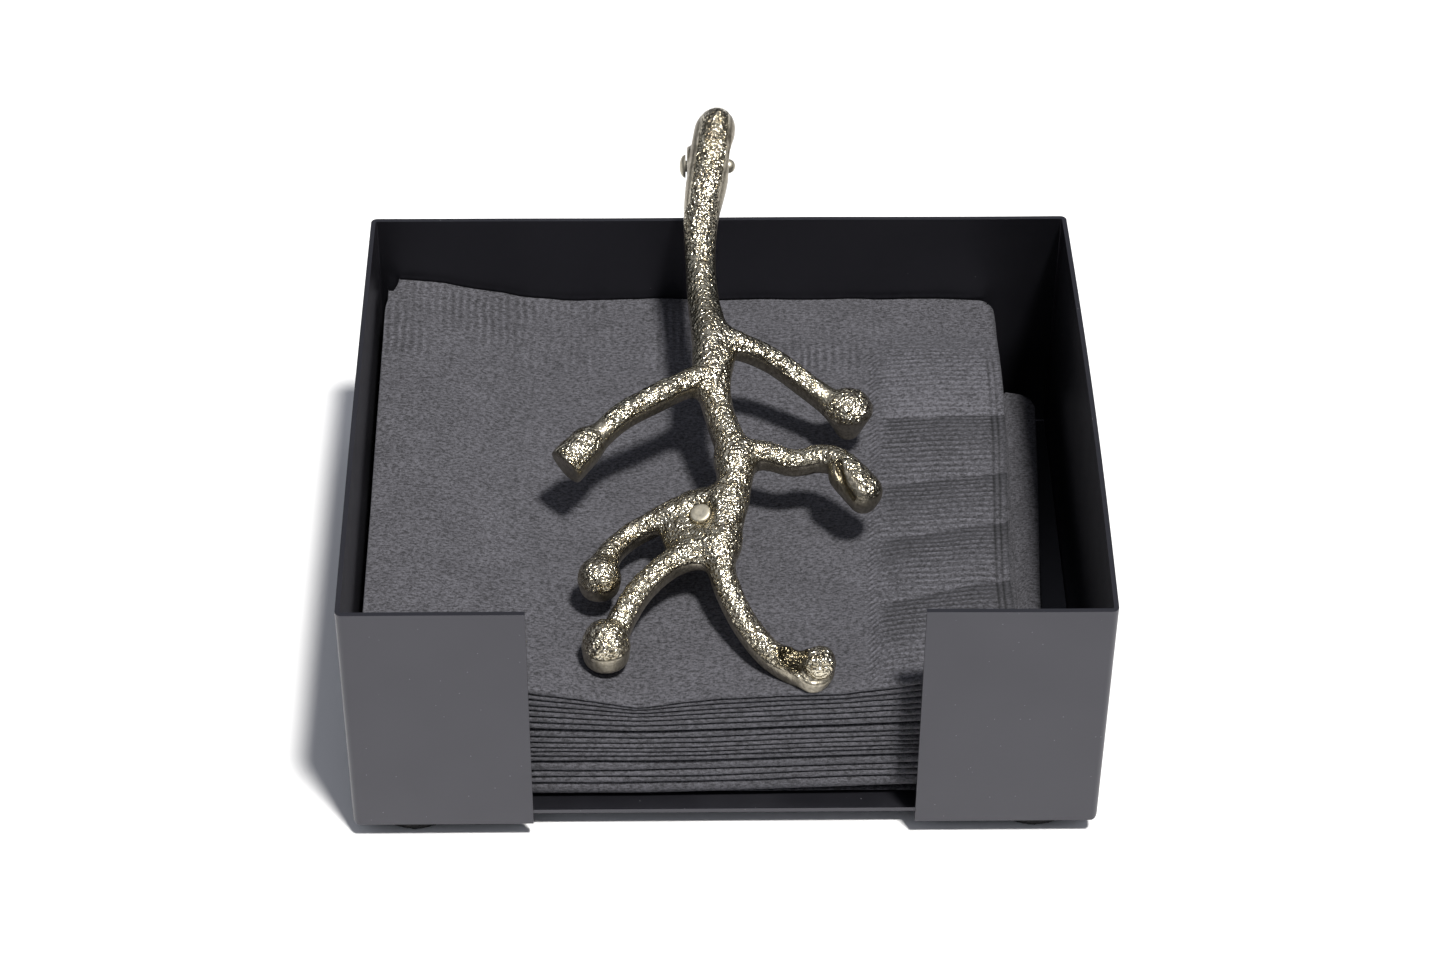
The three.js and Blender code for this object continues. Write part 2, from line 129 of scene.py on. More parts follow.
def copy_of(node, name):
    """Welded copy of a CAD node's mesh with its flat faces whole."""
    mesh = bpy.data.meshes.new(name)
    shape = bmesh.new()
    shape.from_mesh(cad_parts[node].data)
    bmesh.ops.remove_doubles(shape, verts=shape.verts, dist=2e-6)
    bmesh.ops.dissolve_limit(
        shape, angle_limit=math.radians(1), verts=shape.verts, edges=shape.edges
    )
    shape.to_mesh(mesh)
    shape.free()
    return add_object(name, mesh)


def coordinates(obj):
    values = np.empty(len(obj.data.vertices) * 3)
    obj.data.vertices.foreach_get("co", values)
    return values.reshape(-1, 3)


def set_coordinates(obj, values):
    obj.data.vertices.foreach_set("co", values.ravel())
    obj.data.update()


def normals(obj):
    values = np.empty(len(obj.data.vertices) * 3)
    obj.data.vertices.foreach_get("normal", values)
    return values.reshape(-1, 3)


def noise_at(points, size, seed=0.0):
    """Smooth noise from -1 to 1 at points in millimetres, with lumps of a size in millimetres."""
    shift = Vector((seed * 17.3, seed * 5.1, seed * 9.7))
    return np.array([noise.noise(Vector(p) / size + shift) for p in points])


def roughen(obj, layers, weights=1.0):
    """Moves the surface in and out by layers of noise, each (height, lump size, seed)."""
    points = millimetres(coordinates(obj))
    height = sum(amount * noise_at(points, size, seed) for amount, size, seed in layers)
    moved = points + normals(obj) * (height * weights)[:, None]
    set_coordinates(obj, metres(moved))


def lathe(profile, segments, turn, at):
    """Points and faces of (radius, height) turned about Z, then placed by a rotation and a shift."""
    points, rings, faces = [], [], []
    for radius, height in profile:
        count = segments if radius > 1e-6 else 1
        rings.append(range(len(points), len(points) + count))
        for i in range(count):
            angle = 2 * math.pi * i / segments
            points.append((radius * math.cos(angle), radius * math.sin(angle), height))
    for low, high in itertools.pairwise(rings):
        for i in range(segments):
            j = (i + 1) % segments
            corners = [low[i % len(low)], low[j % len(low)], high[j % len(high)], high[i % len(high)]]
            faces.append(list(dict.fromkeys(corners)))
    placed = np.array(points) @ np.array(turn.to_3x3()).T + np.array(at)
    return placed, faces


def arc(centre, radius, start, end, steps):
    """Points of an arc in the plane, angles in degrees."""
    angles = np.radians(np.linspace(start, end, steps + 1))
    return [(centre[0] + radius * math.cos(a), centre[1] + radius * math.sin(a)) for a in angles]


# ---------------------------------------------------------------- material tools


class Finish:
    """A node material with one Principled shader."""

    def __init__(self, name, **sockets):
        self.material = bpy.data.materials.new(name)
        self.material.use_nodes = True
        self.tree = self.material.node_tree
        self.shader = self.tree.nodes["Principled BSDF"]
        for socket, value in sockets.items():
            self.shader.inputs[socket.replace("_", " ")].default_value = value
        self.place = self.node("ShaderNodeTexCoord").outputs["Object"]

    def node(self, kind, values=None, **settings):
        made = self.tree.nodes.new(kind)
        for key, value in settings.items():
            setattr(made, key, value)
        for key, value in (values or {}).items():
            if isinstance(value, bpy.types.NodeSocket):
                self.tree.links.new(value, made.inputs[key])
            else:
                made.inputs[key].default_value = value
        return made

    def math(self, operation, a, b=0.0, c=0.0):
        return self.node("ShaderNodeMath", {0: a, 1: b, 2: c}, operation=operation).outputs[0]

    def scaled(self, x, y, z):
        return self.node("ShaderNodeMapping", {"Vector": self.place, "Scale": (x, y, z)}).outputs[0]

    def noise(self, size, detail=3.0, place=None, roughness=0.5):
        """Noise with lumps of a size in millimetres, from 0 to 1."""
        values = {
            "Vector": place or self.place,
            "Scale": 1.0 if place else 1 / (size * MM),
            "Detail": detail,
            "Roughness": roughness,
        }
        return self.node("ShaderNodeTexNoise", values).outputs[0]

    def cells(self, size, output="Distance"):
        values = {"Vector": self.place, "Scale": 1 / (size * MM)}
        return self.node("ShaderNodeTexVoronoi", values).outputs[output]

    def remap(self, value, low, high, to_low=0.0, to_high=1.0):
        values = {"Value": value, 1: low, 2: high, 3: to_low, 4: to_high}
        return self.node("ShaderNodeMapRange", values).outputs[0]

    def mix(self, share, a, b):
        made = self.node("ShaderNodeMix", data_type="RGBA")
        for index, value in ((0, share), (6, a), (7, b)):
            if isinstance(value, bpy.types.NodeSocket):
                self.tree.links.new(value, made.inputs[index])
            else:
                made.inputs[index].default_value = value
        return made.outputs[2]

    def attribute(self, name):
        return self.node("ShaderNodeAttribute", attribute_name=name).outputs["Fac"]

    def bump(self, height, depth, normal=None):
        """Relief of a depth in millimetres."""
        values = {"Height": height, "Strength": 1.0, "Distance": depth * MM}
        if normal:
            values["Normal"] = normal
        return self.node("ShaderNodeBump", values).outputs[0]

    def link(self, output, socket):
        self.tree.links.new(output, self.shader.inputs[socket])


def paint(obj, name, values):
    """A number at each vertex, for the material to read by its name."""
    attribute = obj.data.attributes.new(name, "FLOAT", "POINT")
    spread = np.broadcast_to(values, len(obj.data.vertices))
    attribute.data.foreach_set("value", spread.astype(np.float32))


# ---------------------------------------------------------------- materials


def powder_coat():
    """Satin black powder coat: orange peel, a few dust specks and slow changes of gloss."""
    coat = Finish("powder_coat", IOR=1.72)
    coat.shader.inputs["Specular Tint"].default_value = (0.90, 0.89, 1.0, 1)
    dust = coat.math("LESS_THAN", coat.cells(3.0), 0.05)
    chosen = coat.math("GREATER_THAN", coat.cells(3.0, output="Color"), 0.45)
    speck = coat.math("MULTIPLY", dust, chosen)
    tone = coat.remap(coat.noise(30, 2), 0.3, 0.7)
    base = coat.mix(tone, (0.0030, 0.0030, 0.0042, 1), (0.0048, 0.0048, 0.0064, 1))
    coat.link(coat.mix(speck, base, (0.10, 0.10, 0.11, 1)), "Base Color")
    coat.link(coat.remap(coat.noise(22, 4), 0.3, 0.7, 0.33, 0.43), "Roughness")
    peel = coat.bump(coat.noise(0.9, 2), 0.012)
    coat.link(coat.bump(speck, 0.05, peel), "Normal")
    return coat.material


def cast_nickel():
    """Champagne nickel plate on a sand-cast surface: coarse sparkling grain on top, and smooth
    satin sides where the grain attribute falls to 0, which are also painted a darker colour as
    shade. A second attribute paints shade in the hollow and the crease, and darker patches at the
    hinge end."""
    cast = Finish("cast_nickel", Metallic=1.0)
    grain = cast.attribute("grain")
    tint = cast.remap(cast.noise(9, 3), 0.3, 0.7)
    rough_tone = cast.mix(tint, (0.72, 0.66, 0.51, 1), (0.84, 0.78, 0.63, 1))
    facet = cast.remap(cast.cells(0.62, output="Color"), 0.15, 0.85)
    rough_tone = cast.mix(facet, (0.27, 0.225, 0.145, 1), rough_tone)
    brushed = cast.remap(cast.noise(1, 3, cast.scaled(1300, 1300, 700)), 0.3, 0.7)
    # painted shade: where the grain attribute falls to 0, the smooth sides get this darker colour
    shaded_side_tone = cast.mix(brushed, (0.24, 0.215, 0.165, 1), (0.46, 0.42, 0.34, 1))
    metal_tone = cast.mix(grain, shaded_side_tone, rough_tone)
    # painted shade in the stem end's hollow and in the crease, and darker patches at the hinge end
    painted_shade_and_patches = cast.math("MULTIPLY", cast.attribute("painted_shade_and_patches"), 0.9)
    cast.link(cast.mix(painted_shade_and_patches, metal_tone, (0.10, 0.08, 0.045, 1)), "Base Color")
    cast.link(cast.remap(grain, 0.0, 1.0, 0.40, 0.20), "Roughness")
    lumps = cast.math("MULTIPLY", cast.cells(0.9), grain)
    sand = cast.math("MULTIPLY", cast.noise(0.75, 1.5), cast.math("MULTIPLY_ADD", grain, 0.86, 0.14))
    first = cast.bump(lumps, 0.26)
    cast.link(cast.bump(sand, 0.55, first), "Normal")
    return cast.material


def polished_nickel():
    """Satin plate with a faint mottle and fine unevenness."""
    plate = Finish("polished_nickel", Metallic=1.0)
    tone = plate.remap(plate.noise(1.5, 3), 0.3, 0.7)
    plate.link(plate.mix(tone, (0.46, 0.42, 0.33, 1), (0.58, 0.54, 0.44, 1)), "Base Color")
    plate.link(plate.remap(plate.noise(0.6, 3), 0.3, 0.7, 0.44, 0.56), "Roughness")
    plate.link(plate.bump(plate.noise(0.35, 2), 0.02), "Normal")
    return plate.material


def pad_rubber():
    """Coarse matt black foam rubber."""
    pad = Finish("pad_rubber", Roughness=0.9)
    speck = pad.remap(pad.noise(0.5, 4, roughness=0.7), 0.5, 0.75)
    pad.link(pad.mix(speck, (0.006, 0.006, 0.007, 1), (0.05, 0.045, 0.045, 1)), "Base Color")
    pad.link(pad.bump(pad.noise(0.6, 4, roughness=0.7), 0.35), "Normal")
    return pad.material


def napkin_paper():
    """Dark grey tissue: crepe lines along X, loose fibres and a soft sheen. The shade attribute paints
    light and shade into it, with some random tone. rear_ribs is where the rear border has its ribs,
    which also paint light and shade along their wave."""
    paper = Finish("napkin_paper", Roughness=0.92, Sheen_Weight=0.08, Sheen_Roughness=0.5)
    paper.shader.inputs["Sheen Tint"].default_value = (0.72, 0.74, 0.9, 1)
    crepe = paper.noise(1, 3, paper.scaled(950, 1900, 1900), 0.62)
    fibre = paper.noise(1, 3, paper.scaled(3000, 2600, 3000), 0.6)
    cloud = paper.remap(paper.noise(11, 4), 0.35, 0.65, 0.93, 1.07)
    mixed = paper.math("MULTIPLY_ADD", crepe, 0.62, paper.math("MULTIPLY", fibre, 0.38))
    tone = paper.remap(mixed, 0.40, 0.60, 0.34, 1.66)
    across = paper.node("ShaderNodeSeparateXYZ", {0: paper.place}).outputs[0]
    bent = paper.math("MULTIPLY_ADD", paper.noise(9, 2), 2.2 * MM, across)
    wave = paper.math("SINE", paper.math("MULTIPLY", bent, 2 * math.pi / (REAR_RIB_PITCH * MM)))
    patch = paper.remap(paper.noise(17, 2), 0.44, 0.60, 0.12, 1.0)
    rib_relief_and_shade = paper.math("MULTIPLY", paper.math("MULTIPLY", wave, patch), paper.attribute("rear_ribs"))
    tone = paper.math("MULTIPLY", tone, cloud)
    # the shade attribute: painted light and shade, with some random tone
    tone = paper.math("MULTIPLY", tone, paper.math("ADD", paper.attribute("shade"), 1.0))
    # painted light and shade: the rear ribs lighten and darken the colour along their wave
    tone = paper.math("MULTIPLY", tone, paper.math("MULTIPLY_ADD", rib_relief_and_shade, 0.26, 1.0))
    half = paper.math("MULTIPLY", tone, 0.5)
    paper.link(paper.mix(half, (0, 0, 0, 1), (0.112, 0.110, 0.125, 1)), "Base Color")
    relief = paper.bump(crepe, 0.12)
    relief = paper.bump(fibre, 0.08, relief)
    paper.link(paper.bump(rib_relief_and_shade, 0.12, relief), "Normal")
    return paper.material


def pale_floor():
    """Matt pale studio floor."""
    floor = Finish("pale_floor", Roughness=0.8)
    tone = floor.remap(floor.noise(60, 3), 0.3, 0.7)
    floor.link(floor.mix(tone, (0.83, 0.83, 0.835, 1), (0.87, 0.87, 0.875, 1)), "Base Color")
    floor.link(floor.bump(floor.noise(3, 3), 0.02), "Normal")
    return floor.material


# ---------------------------------------------------------------- tray

EDGE_WIDTH = 0.45
SIDE_BOW = 0.8
GRID_STEP = 6.0


def make_tray(material):
    """The folded sheet with its cut edges eased, and its sides bowed out, the right one more."""
    tray = copy_of("tray_body", "tray_sheet")
    ease = tray.modifiers.new("eased_edges", "BEVEL")
    ease.width = EDGE_WIDTH * MM
    ease.segments = 4
    ease.limit_method = "ANGLE"
    ease.angle_limit = math.radians(50)
    freeze(tray)
    shape = bmesh.new()
    shape.from_mesh(tray.data)
    for axis, low, high in ((0, LEFT, RIGHT), (1, FRONT, REAR), (2, 0, TRAY_HEIGHT)):
        direction = Vector([1.0 if k == axis else 0.0 for k in range(3)])
        for value in np.arange(low + GRID_STEP, high - GRID_STEP / 2, GRID_STEP):
            point = Vector(metres(direction * value))
            everything = [*shape.verts, *shape.edges, *shape.faces]
            bmesh.ops.bisect_plane(shape, geom=everything, plane_co=point, plane_no=direction)
    shape.to_mesh(tray.data)
    shape.free()
    points = millimetres(coordinates(tray))
    x, y, z = points.T
    along = np.clip((y - FRONT) / (REAR - FRONT), 0, 1)
    belly = np.sin(math.pi * along) * np.clip(z / TRAY_HEIGHT, 0, 1)
    points[:, 0] += SIDE_BOW * belly * (x > RIGHT - 2) - SIDE_BOW / 3 * belly * (x < LEFT + 2)
    wave = noise_at(points, 45, 3)
    points[:, 1] += 0.25 * wave * (np.abs(y) > REAR - 2) * np.clip(z / TRAY_HEIGHT, 0, 1)
    set_coordinates(tray, metres(points))
    tray.data.shade_smooth()
    tray.data.set_sharp_from_angle(angle=math.radians(35))
    tray.modifiers.new("flat_faces", "WEIGHTED_NORMAL").keep_sharp = True
    return finish_piece(tray, "holder", material, ["tray_body"])


# ---------------------------------------------------------------- pads, rivets, bracket, pin, plug


def make_pad(place, material):
    node = f"foot_pad_{place}"
    low, high = box_of(node)
    radius = (high[0] - low[0]) / 2
    bottom, top, edge = low[2], -0.02, 0.7
    side = [(radius, z) for z in np.linspace(bottom + edge, top - 0.3, 12)]
    inner = np.linspace(0, radius - edge, 14)
    profile = [(r, bottom) for r in inner]
    profile += arc((radius - edge, bottom + edge), edge, -75, -15, 4) + side
    profile += [(radius - 0.3, top), (radius / 2, top), (0, top)]
    middle = [(low[0] + high[0]) / 2, (low[1] + high[1]) / 2, 0]
    pad = mesh_piece(f"pad_{place}", *lathe(profile, 96, Matrix.Identity(4), middle))
    points = millimetres(coordinates(pad))
    roughen(pad, [(0.16, 0.9, 1), (0.10, 2.5, 2)], (points[:, 2] > bottom + 0.05) * 1.0)
    return finish_piece(pad, "holder", material, [node])


def dome(radius, height, sign, crown, steps=8):
    """Profile of a domed head from its crown to its rim, flat on the far side."""
    angles = np.linspace(0, math.pi / 2, steps + 1)
    return [(radius * math.sin(a), crown + sign * height * (1 - math.cos(a))) for a in angles]


def make_rivet(place, material):
    node = f"bracket_rivet_{place}"
    low, high = box_of(node)
    radius = (high[0] - low[0]) / 2
    middle = (low + high) / 2
    half = (high[1] - low[1]) / 2
    profile = dome(radius, 1.0, 1, -half) + [(radius * 0.99, -half + 1.15), (1.6, -half + 1.2)]
    profile += [(1.6, half - 1.2), (radius * 0.99, half - 1.15)] + dome(radius, 1.0, -1, half)[::-1]
    along_y = Matrix.Rotation(math.radians(-90), 4, "X")
    rivet = mesh_piece(f"rivet_{place}", *lathe(profile, 48, along_y, middle))
    return finish_piece(rivet, "holder", material, [node])


BRACKET_VOXEL = 0.3


def make_bracket(material):
    """The cast bracket: soft edges and a sandy surface."""
    bracket = copy_of("hinge_bracket", "bracket_cast")
    clay = bracket.modifiers.new("even_mesh", "REMESH")
    clay.mode = "VOXEL"
    clay.voxel_size = BRACKET_VOXEL * MM
    soft = bracket.modifiers.new("soft_edges", "SMOOTH")
    soft.factor = 0.5
    soft.iterations = 4
    freeze(bracket)
    bracket.data.shade_smooth()
    roughen(bracket, [(0.10, 1.6, 4), (0.07, 0.8, 5)])
    paint(bracket, "grain", 1.0)
    return finish_piece(bracket, "holder", material, ["hinge_bracket"])


def make_pin(material):
    """Hinge pin with a shallow dome on its left end and a small ball on its right end."""
    left, right = PIN_LOW[0], PIN_HIGH[0]
    left_radius, left_height = PIN_LEFT_HEAD
    right_radius, right_height = PIN_RIGHT_HEAD
    profile = dome(left_radius, left_height, 1, left) + [(PIN_RADIUS, left + left_height)]
    profile += [(PIN_RADIUS, right - right_height)] + dome(right_radius, right_height, -1, right)[::-1]
    along_x = Matrix.Rotation(math.radians(90), 4, "Y")
    pin = mesh_piece("pin_turned", *lathe(profile, 64, along_x, (0, HINGE_Y, HINGE_Z)))
    pin.data.set_sharp_from_angle(angle=math.radians(50))
    return finish_piece(pin, "arm", material, ["hinge_pin"])


WEB_AT = (-6.5, -26.5, 54.3)
WEB_FACING = Vector((-0.25, -0.27, 1)).normalized()
PLUG_AT = (-5.2, -24.4, 55.2)
PLUG_RADIUS = 2.7
PLUG_TOP = 3.4
PLUG_DEPTH = 1.3


def make_plug(material):
    """Flat round plug with a soft rim and a shallow dimple."""
    rim = 0.6
    profile = [(0, -PLUG_DEPTH), (PLUG_RADIUS, -PLUG_DEPTH)]
    profile += arc((PLUG_RADIUS - rim, PLUG_TOP - rim), rim, 0, 80, 5)
    profile += [(1.6, PLUG_TOP + 0.05), (0.8, PLUG_TOP - 0.02), (0, PLUG_TOP - 0.06)]
    turn = WEB_FACING.to_track_quat("Z", "Y").to_matrix()
    plug = mesh_piece("plug_turned", *lathe(profile, 64, turn, PLUG_AT))
    plug.data.set_sharp_from_angle(angle=math.radians(50))
    return finish_piece(plug, "arm", material, ["web_plug"])


# ---------------------------------------------------------------- twig

# points along each limb as x, y, z and radius
LIMBS = {
    "stem": [
        (-1.2, 84.6, 94.4, 5.2), (-2.0, 78, 91, 5.3), (-3.6, 70, 85.8, 5.1), (-5, 62, 80.8, 4.3),
        (-5.2, 52, 75.2, 3.7), (-4.5, 40, 72, 3.9), (-2.8, 26, 70.7, 4.6), (-2.6, 15, 67.8, 4.3),
        (-0.8, 4, 64.6, 3.7), (3, -9, 60.8, 4.2), (2, -19, 57.9, 4.1), (-0.8, -32, 54.2, 3.8),
        (-0.4, -41, 51.5, 3.2), (3.6, -50, 47, 3.1), (9.6, -58, 43.4, 3.2), (16, -62, 41.6, 3.7),
        (21, -63.8, 41.4, 4.3),
    ],
    "upper_right": [
        (-2, 27, 70.5, 3.8), (5, 25, 69.8, 3.1), (13, 23.8, 66, 2.9), (21, 20, 61.6, 2.9),
        (26, 17, 59.2, 3.0), (31.5, 13.5, 57, 3.6),
    ],
    "upper_left": [
        (-2.6, 15, 68.5, 3.8), (-9, 10.5, 69.8, 3.1), (-17, 5.5, 69.3, 3.1), (-25, 1.3, 67.3, 3.0),
        (-30.5, -3, 64.8, 2.9), (-36, -7.8, 62.8, 3.7),
    ],
    "middle_right": [
        (3, -8, 61.2, 3.8), (10, -7, 61.3, 3.2), (17.5, -9, 60.4, 2.9), (24, -8.7, 61.5, 3.0),
        (29, -11, 62, 3.2), (32.5, -16.5, 61, 3.6),
    ],
    "middle_left": [
        (1, -20, 57.5, 4), (-8, -20, 55.3, 3.3), (-16, -21.7, 52.6, 2.9), (-23, -24.5, 50.2, 2.8),
        (-27.6, -29.5, 49.6, 2.9), (-30.4, -35.5, 49, 3.6),
    ],
    "lower_left": [
        (-1, -32, 54, 3.8), (-9.5, -35, 53.2, 3.1), (-15.5, -39, 52, 3), (-21, -43.5, 49, 3.1),
        (-25.2, -49, 45, 3.2), (-28.4, -54.6, 41.6, 3.8),
    ],
}

# buds: middle of the cap's rim, the direction that the cap faces, the cap's radius and height, and
# the smooth skirt under it, with its depth and its radius at the foot
BUDS = {
    "upper_right": ((32.3, 14.6, 57.4), (0, 0, 1), 6.5, 4.8, 9.0, 2.5),
    "middle_left": ((-30.8, -39.6, 50.0), (0, 0, 1), 5.6, 5.2, 4.6, 4.6),
    "lower_left": ((-29.1, -56.8, 44.3), (0, 0, 1), 6.1, 6.0, 5.6, 5.5),
    "stem": ((21.4, -64.7, 43.2), (0.15, -0.2, 1), 5.1, 0.6, 4.6, 4.2),
}
# bars: from the neck to the far end as x, y, z, with both radii, how far the smooth side reaches
# down, and whether the end is cut flat
BARS = {
    "upper_left": ((-34.0, -5.6, 63.6), (-40.4, -11.8, 60.6), 4.5, 5.0, 3.0, True),
    "middle_right": ((30.6, -14.6, 60.9), (34.6, -19.0, 59.4), 4.6, 4.8, 2.4, False),
}
BALL = ((22.5, -64.9, 45.4), 4.1)
BALL_GROOVE = 0.6
HOLLOW = ((16.8, -62.9, 45.8), (3.9, 4.0, 2.5))
CREASE = [(28.3, -14.4, 64.8), (29.5, -20.6, 62.4), (31.6, -22.8, 60.6)]
CREASE_RADIUS = 0.8
FLARES = [
    ((-1.6, 20, 68.8), (4.5, 4.6, 4.5)), ((2.6, -9.6, 60.6), (4.5, 4.5, 4.5)),
    ((-0.6, -21.5, 56.4), (4.4, 4.4, 4.4)), ((-1.4, -33, 53.6), (4.1, 4.1, 4.1)),
    ((-5.5, -30.5, 53.0), (7.0, 6.0, 3.0)),
]
SHOULDER = ((-4.6, 85, 98.0), (-0.72, 0.1, 0.69))
SIDE_DROP = 0.45
LIMB_SWELL = 1.05

CLAY_STEP = 0.42
FAR = 9.0
JOIN = 2.6


def smooth_line(points, step):
    """Points of a Catmull-Rom curve through the given ones, about a step apart."""
    points = np.array(points, float)
    ends = np.vstack([2 * points[0] - points[1], points, 2 * points[-1] - points[-2]])
    line = []
    for a, b, c, d in zip(ends, ends[1:], ends[2:], ends[3:], strict=False):
        count = max(2, int(np.linalg.norm((c - b)[:3]) / step))
        for t in np.arange(count) / count:
            cubic = (-a + 3 * b - 3 * c + d) * t**3 + (2 * a - 5 * b + 4 * c - d) * t**2
            line.append((2 * b + (c - a) * t + cubic) / 2)
    line.append(points[-1])
    return np.array(line)


class Clay:
    """A block of distances on a grid, negative inside the shape, that shapes are joined to."""

    def __init__(self, low, high, step):
        self.low = np.array(low, float)
        self.step = step
        self.shape = np.ceil((np.array(high) - low) / step).astype(int) + 1
        self.field = np.full(self.shape, FAR, np.float32)

    def window(self, low, high):
        """Slices of the grid between two corners, and the places of its points."""
        first = np.maximum(np.floor((np.array(low) - self.low) / self.step).astype(int), 0)
        last = np.minimum(np.ceil((np.array(high) - self.low) / self.step).astype(int) + 1, self.shape)
        slices = tuple(slice(a, b) for a, b in zip(first, last, strict=True))
        axes = [self.low[k] + self.step * np.arange(first[k], last[k]) for k in range(3)]
        return slices, np.ix_(*axes)

    def join(self, slices, values, soft=JOIN):
        """Union with a rounded inner corner."""
        old = self.field[slices]
        share = np.clip(0.5 + 0.5 * (values - old) / soft, 0, 1)
        self.field[slices] = values + (old - values) * share - soft * share * (1 - share)

    def cut(self, slices, values, soft=0.3):
        old = self.field[slices]
        share = np.clip(0.5 - 0.5 * (old + values) / soft, 0, 1)
        self.field[slices] = old + (-values - old) * share + soft * share * (1 - share)

    def surface(self):
        """Quads of the surface, one point in each grid cell that it passes through."""
        inside = self.field < 0
        cells = [n - 1 for n in inside.shape]
        corners = list(itertools.product((0, 1), repeat=3))
        count = sum(
            inside[a : a + cells[0], b : b + cells[1], c : c + cells[2]].astype(np.uint8)
            for a, b, c in corners
        )
        active = (count > 0) & (count < 8)
        number = np.full(active.shape, -1, np.int64)
        number[active] = np.arange(active.sum())
        places = np.argwhere(active)
        total, hits = np.zeros((len(places), 3)), np.zeros(len(places))
        for corner, axis in itertools.product(corners, range(3)):
            if corner[axis]:
                continue
            start = places + corner
            end = start + np.eye(3, dtype=int)[axis]
            a, b = self.field[tuple(start.T)], self.field[tuple(end.T)]
            crossed = (a < 0) != (b < 0)
            share = np.where(crossed, a / np.where(crossed, a - b, 1), 0)
            spot = np.array(corner) + share[:, None] * np.eye(3)[axis]
            total += spot * crossed[:, None]
            hits += crossed
        points = self.low + self.step * (places + total / hits[:, None])
        quads = []
        for axis in range(3):
            u, v = np.eye(3, dtype=int)[(axis + 1) % 3], np.eye(3, dtype=int)[(axis + 2) % 3]
            step = np.eye(3, dtype=int)[axis]
            first = inside[tuple(slice(0, n - s) for n, s in zip(inside.shape, step, strict=True))]
            second = inside[tuple(slice(s, n) for n, s in zip(inside.shape, step, strict=True))]
            edges = np.argwhere(first != second)
            outward = first[tuple(edges.T)]
            ring = [number[tuple((edges - o).T)] for o in (u + v, v, 0 * u, u)]
            ring = np.stack(ring, axis=1)
            quads.append(np.where(outward[:, None], ring, ring[:, ::-1]))
        return points, np.concatenate(quads)


def to_segment(place, a, b, radius_a, radius_b):
    """Distance to a round bar from a to b whose radius changes along it, and the share along it."""
    a, b = np.array(a, float), np.array(b, float)
    offset = [place[k] - a[k] for k in range(3)]
    along = sum(offset[k] * (b - a)[k] for k in range(3)) / np.dot(b - a, b - a)
    share = np.clip(along, 0, 1)
    gap = sum((offset[k] - share * (b - a)[k]) ** 2 for k in range(3))
    return np.sqrt(gap) - (radius_a + share * (radius_b - radius_a)), along


def to_ellipsoid(place, middle, radii, axis=None):
    """Distance to an ellipsoid; radii are across, across and along the axis."""
    turn = np.array(Vector(axis or (0, 0, 1)).to_track_quat("Z", "Y").to_matrix())
    offset = [place[k] - middle[k] for k in range(3)]
    local = [sum(offset[k] * turn[k, j] for k in range(3)) for j in range(3)]
    size = np.sqrt(sum((local[j] / radii[j]) ** 2 for j in range(3)))
    return (size - 1) * min(radii)


def rounded_max(a, b, soft):
    share = np.clip(0.5 - 0.5 * (a - b) / soft, 0, 1)
    return a + (b - a) * share + soft * share * (1 - share)


def limb_field(clay, points, margin=4.0):
    line = smooth_line(points, 0.9)
    low, high = line[:, :3].min(0), line[:, :3].max(0)
    widest = line[:, 3].max() + margin
    slices, _ = clay.window(low - widest, high + widest)
    values = np.full([s.stop - s.start for s in slices], FAR, np.float32)
    for a, b in itertools.pairwise(line):
        reach = max(a[3], b[3]) + margin
        part, place = clay.window(np.minimum(a, b)[:3] - reach, np.maximum(a, b)[:3] + reach)
        pairs = zip(part, slices, strict=True)
        inner = tuple(slice(p.start - s.start, p.stop - s.start) for p, s in pairs)
        first, second = LIMB_SWELL * a[3], LIMB_SWELL * b[3]
        distance, _ = to_segment(place, a[:3], b[:3], first, second)
        sunk = [place[0], place[1], place[2] + SIDE_DROP * first]
        side, _ = to_segment(sunk, a[:3], b[:3], 0.9 * first, 0.9 * second)
        values[inner] = np.minimum(values[inner], np.minimum(distance, side))
    return slices, values


def bud_field(clay, middle, facing, radius, cap, skirt, foot):
    """A rough domed cap on a smooth tapered skirt."""
    axis = np.array(Vector(facing).normalized())
    slices, place = clay.window(np.array(middle) - 13, np.array(middle) + 13)
    offset = [place[k] - middle[k] for k in range(3)]
    along = sum(offset[k] * axis[k] for k in range(3))
    across = np.sqrt(np.maximum(sum(offset[k] ** 2 for k in range(3)) - along**2, 0))
    wall = across - (radius + (foot - radius) * np.clip(-along / skirt, 0, 1))
    body = rounded_max(rounded_max(wall, along, 0.6), -along - skirt, 1.4)
    top = to_ellipsoid(place, middle, (radius * 0.95, radius * 0.95, cap), facing)
    return slices, np.minimum(body, top)


def bar_field(clay, start, end, first, second, drop, flat):
    """A round bar with its sides carried down, and with a flat or a round end."""
    middle = (np.array(start) + np.array(end)) / 2
    slices, place = clay.window(middle - 16, middle + 16)
    values, along = to_segment(place, start, end, first, second)
    for share in (0.25, 0.5, 0.75, 1.0):
        sunk = [place[0], place[1], place[2] + drop * share]
        lower, _ = to_segment(sunk, start, end, first * (1 - 0.25 * share), second * (1 - 0.2 * share))
        values = np.minimum(values, lower)
    if flat:
        length = np.linalg.norm(np.array(end) - start)
        values = rounded_max(values, (along - 1) * length + 1.2, 1.0)
    return slices, values


def add_limbs(clay):
    for points in LIMBS.values():
        clay.join(*limb_field(clay, points))
    for middle, radii in FLARES:
        slices, place = clay.window(np.array(middle) - max(radii) - 4, np.array(middle) + max(radii) + 4)
        clay.join(slices, to_ellipsoid(place, middle, radii))
    slices, place = clay.window(np.array(WEB_AT) - 14, np.array(WEB_AT) + 14)
    clay.join(slices, to_ellipsoid(place, WEB_AT, (9, 9, 2.9), WEB_FACING))
    for bud in BUDS.values():
        clay.join(*bud_field(clay, *bud), soft=1.2)
    for bar in BARS.values():
        clay.join(*bar_field(clay, *bar), soft=1.2)


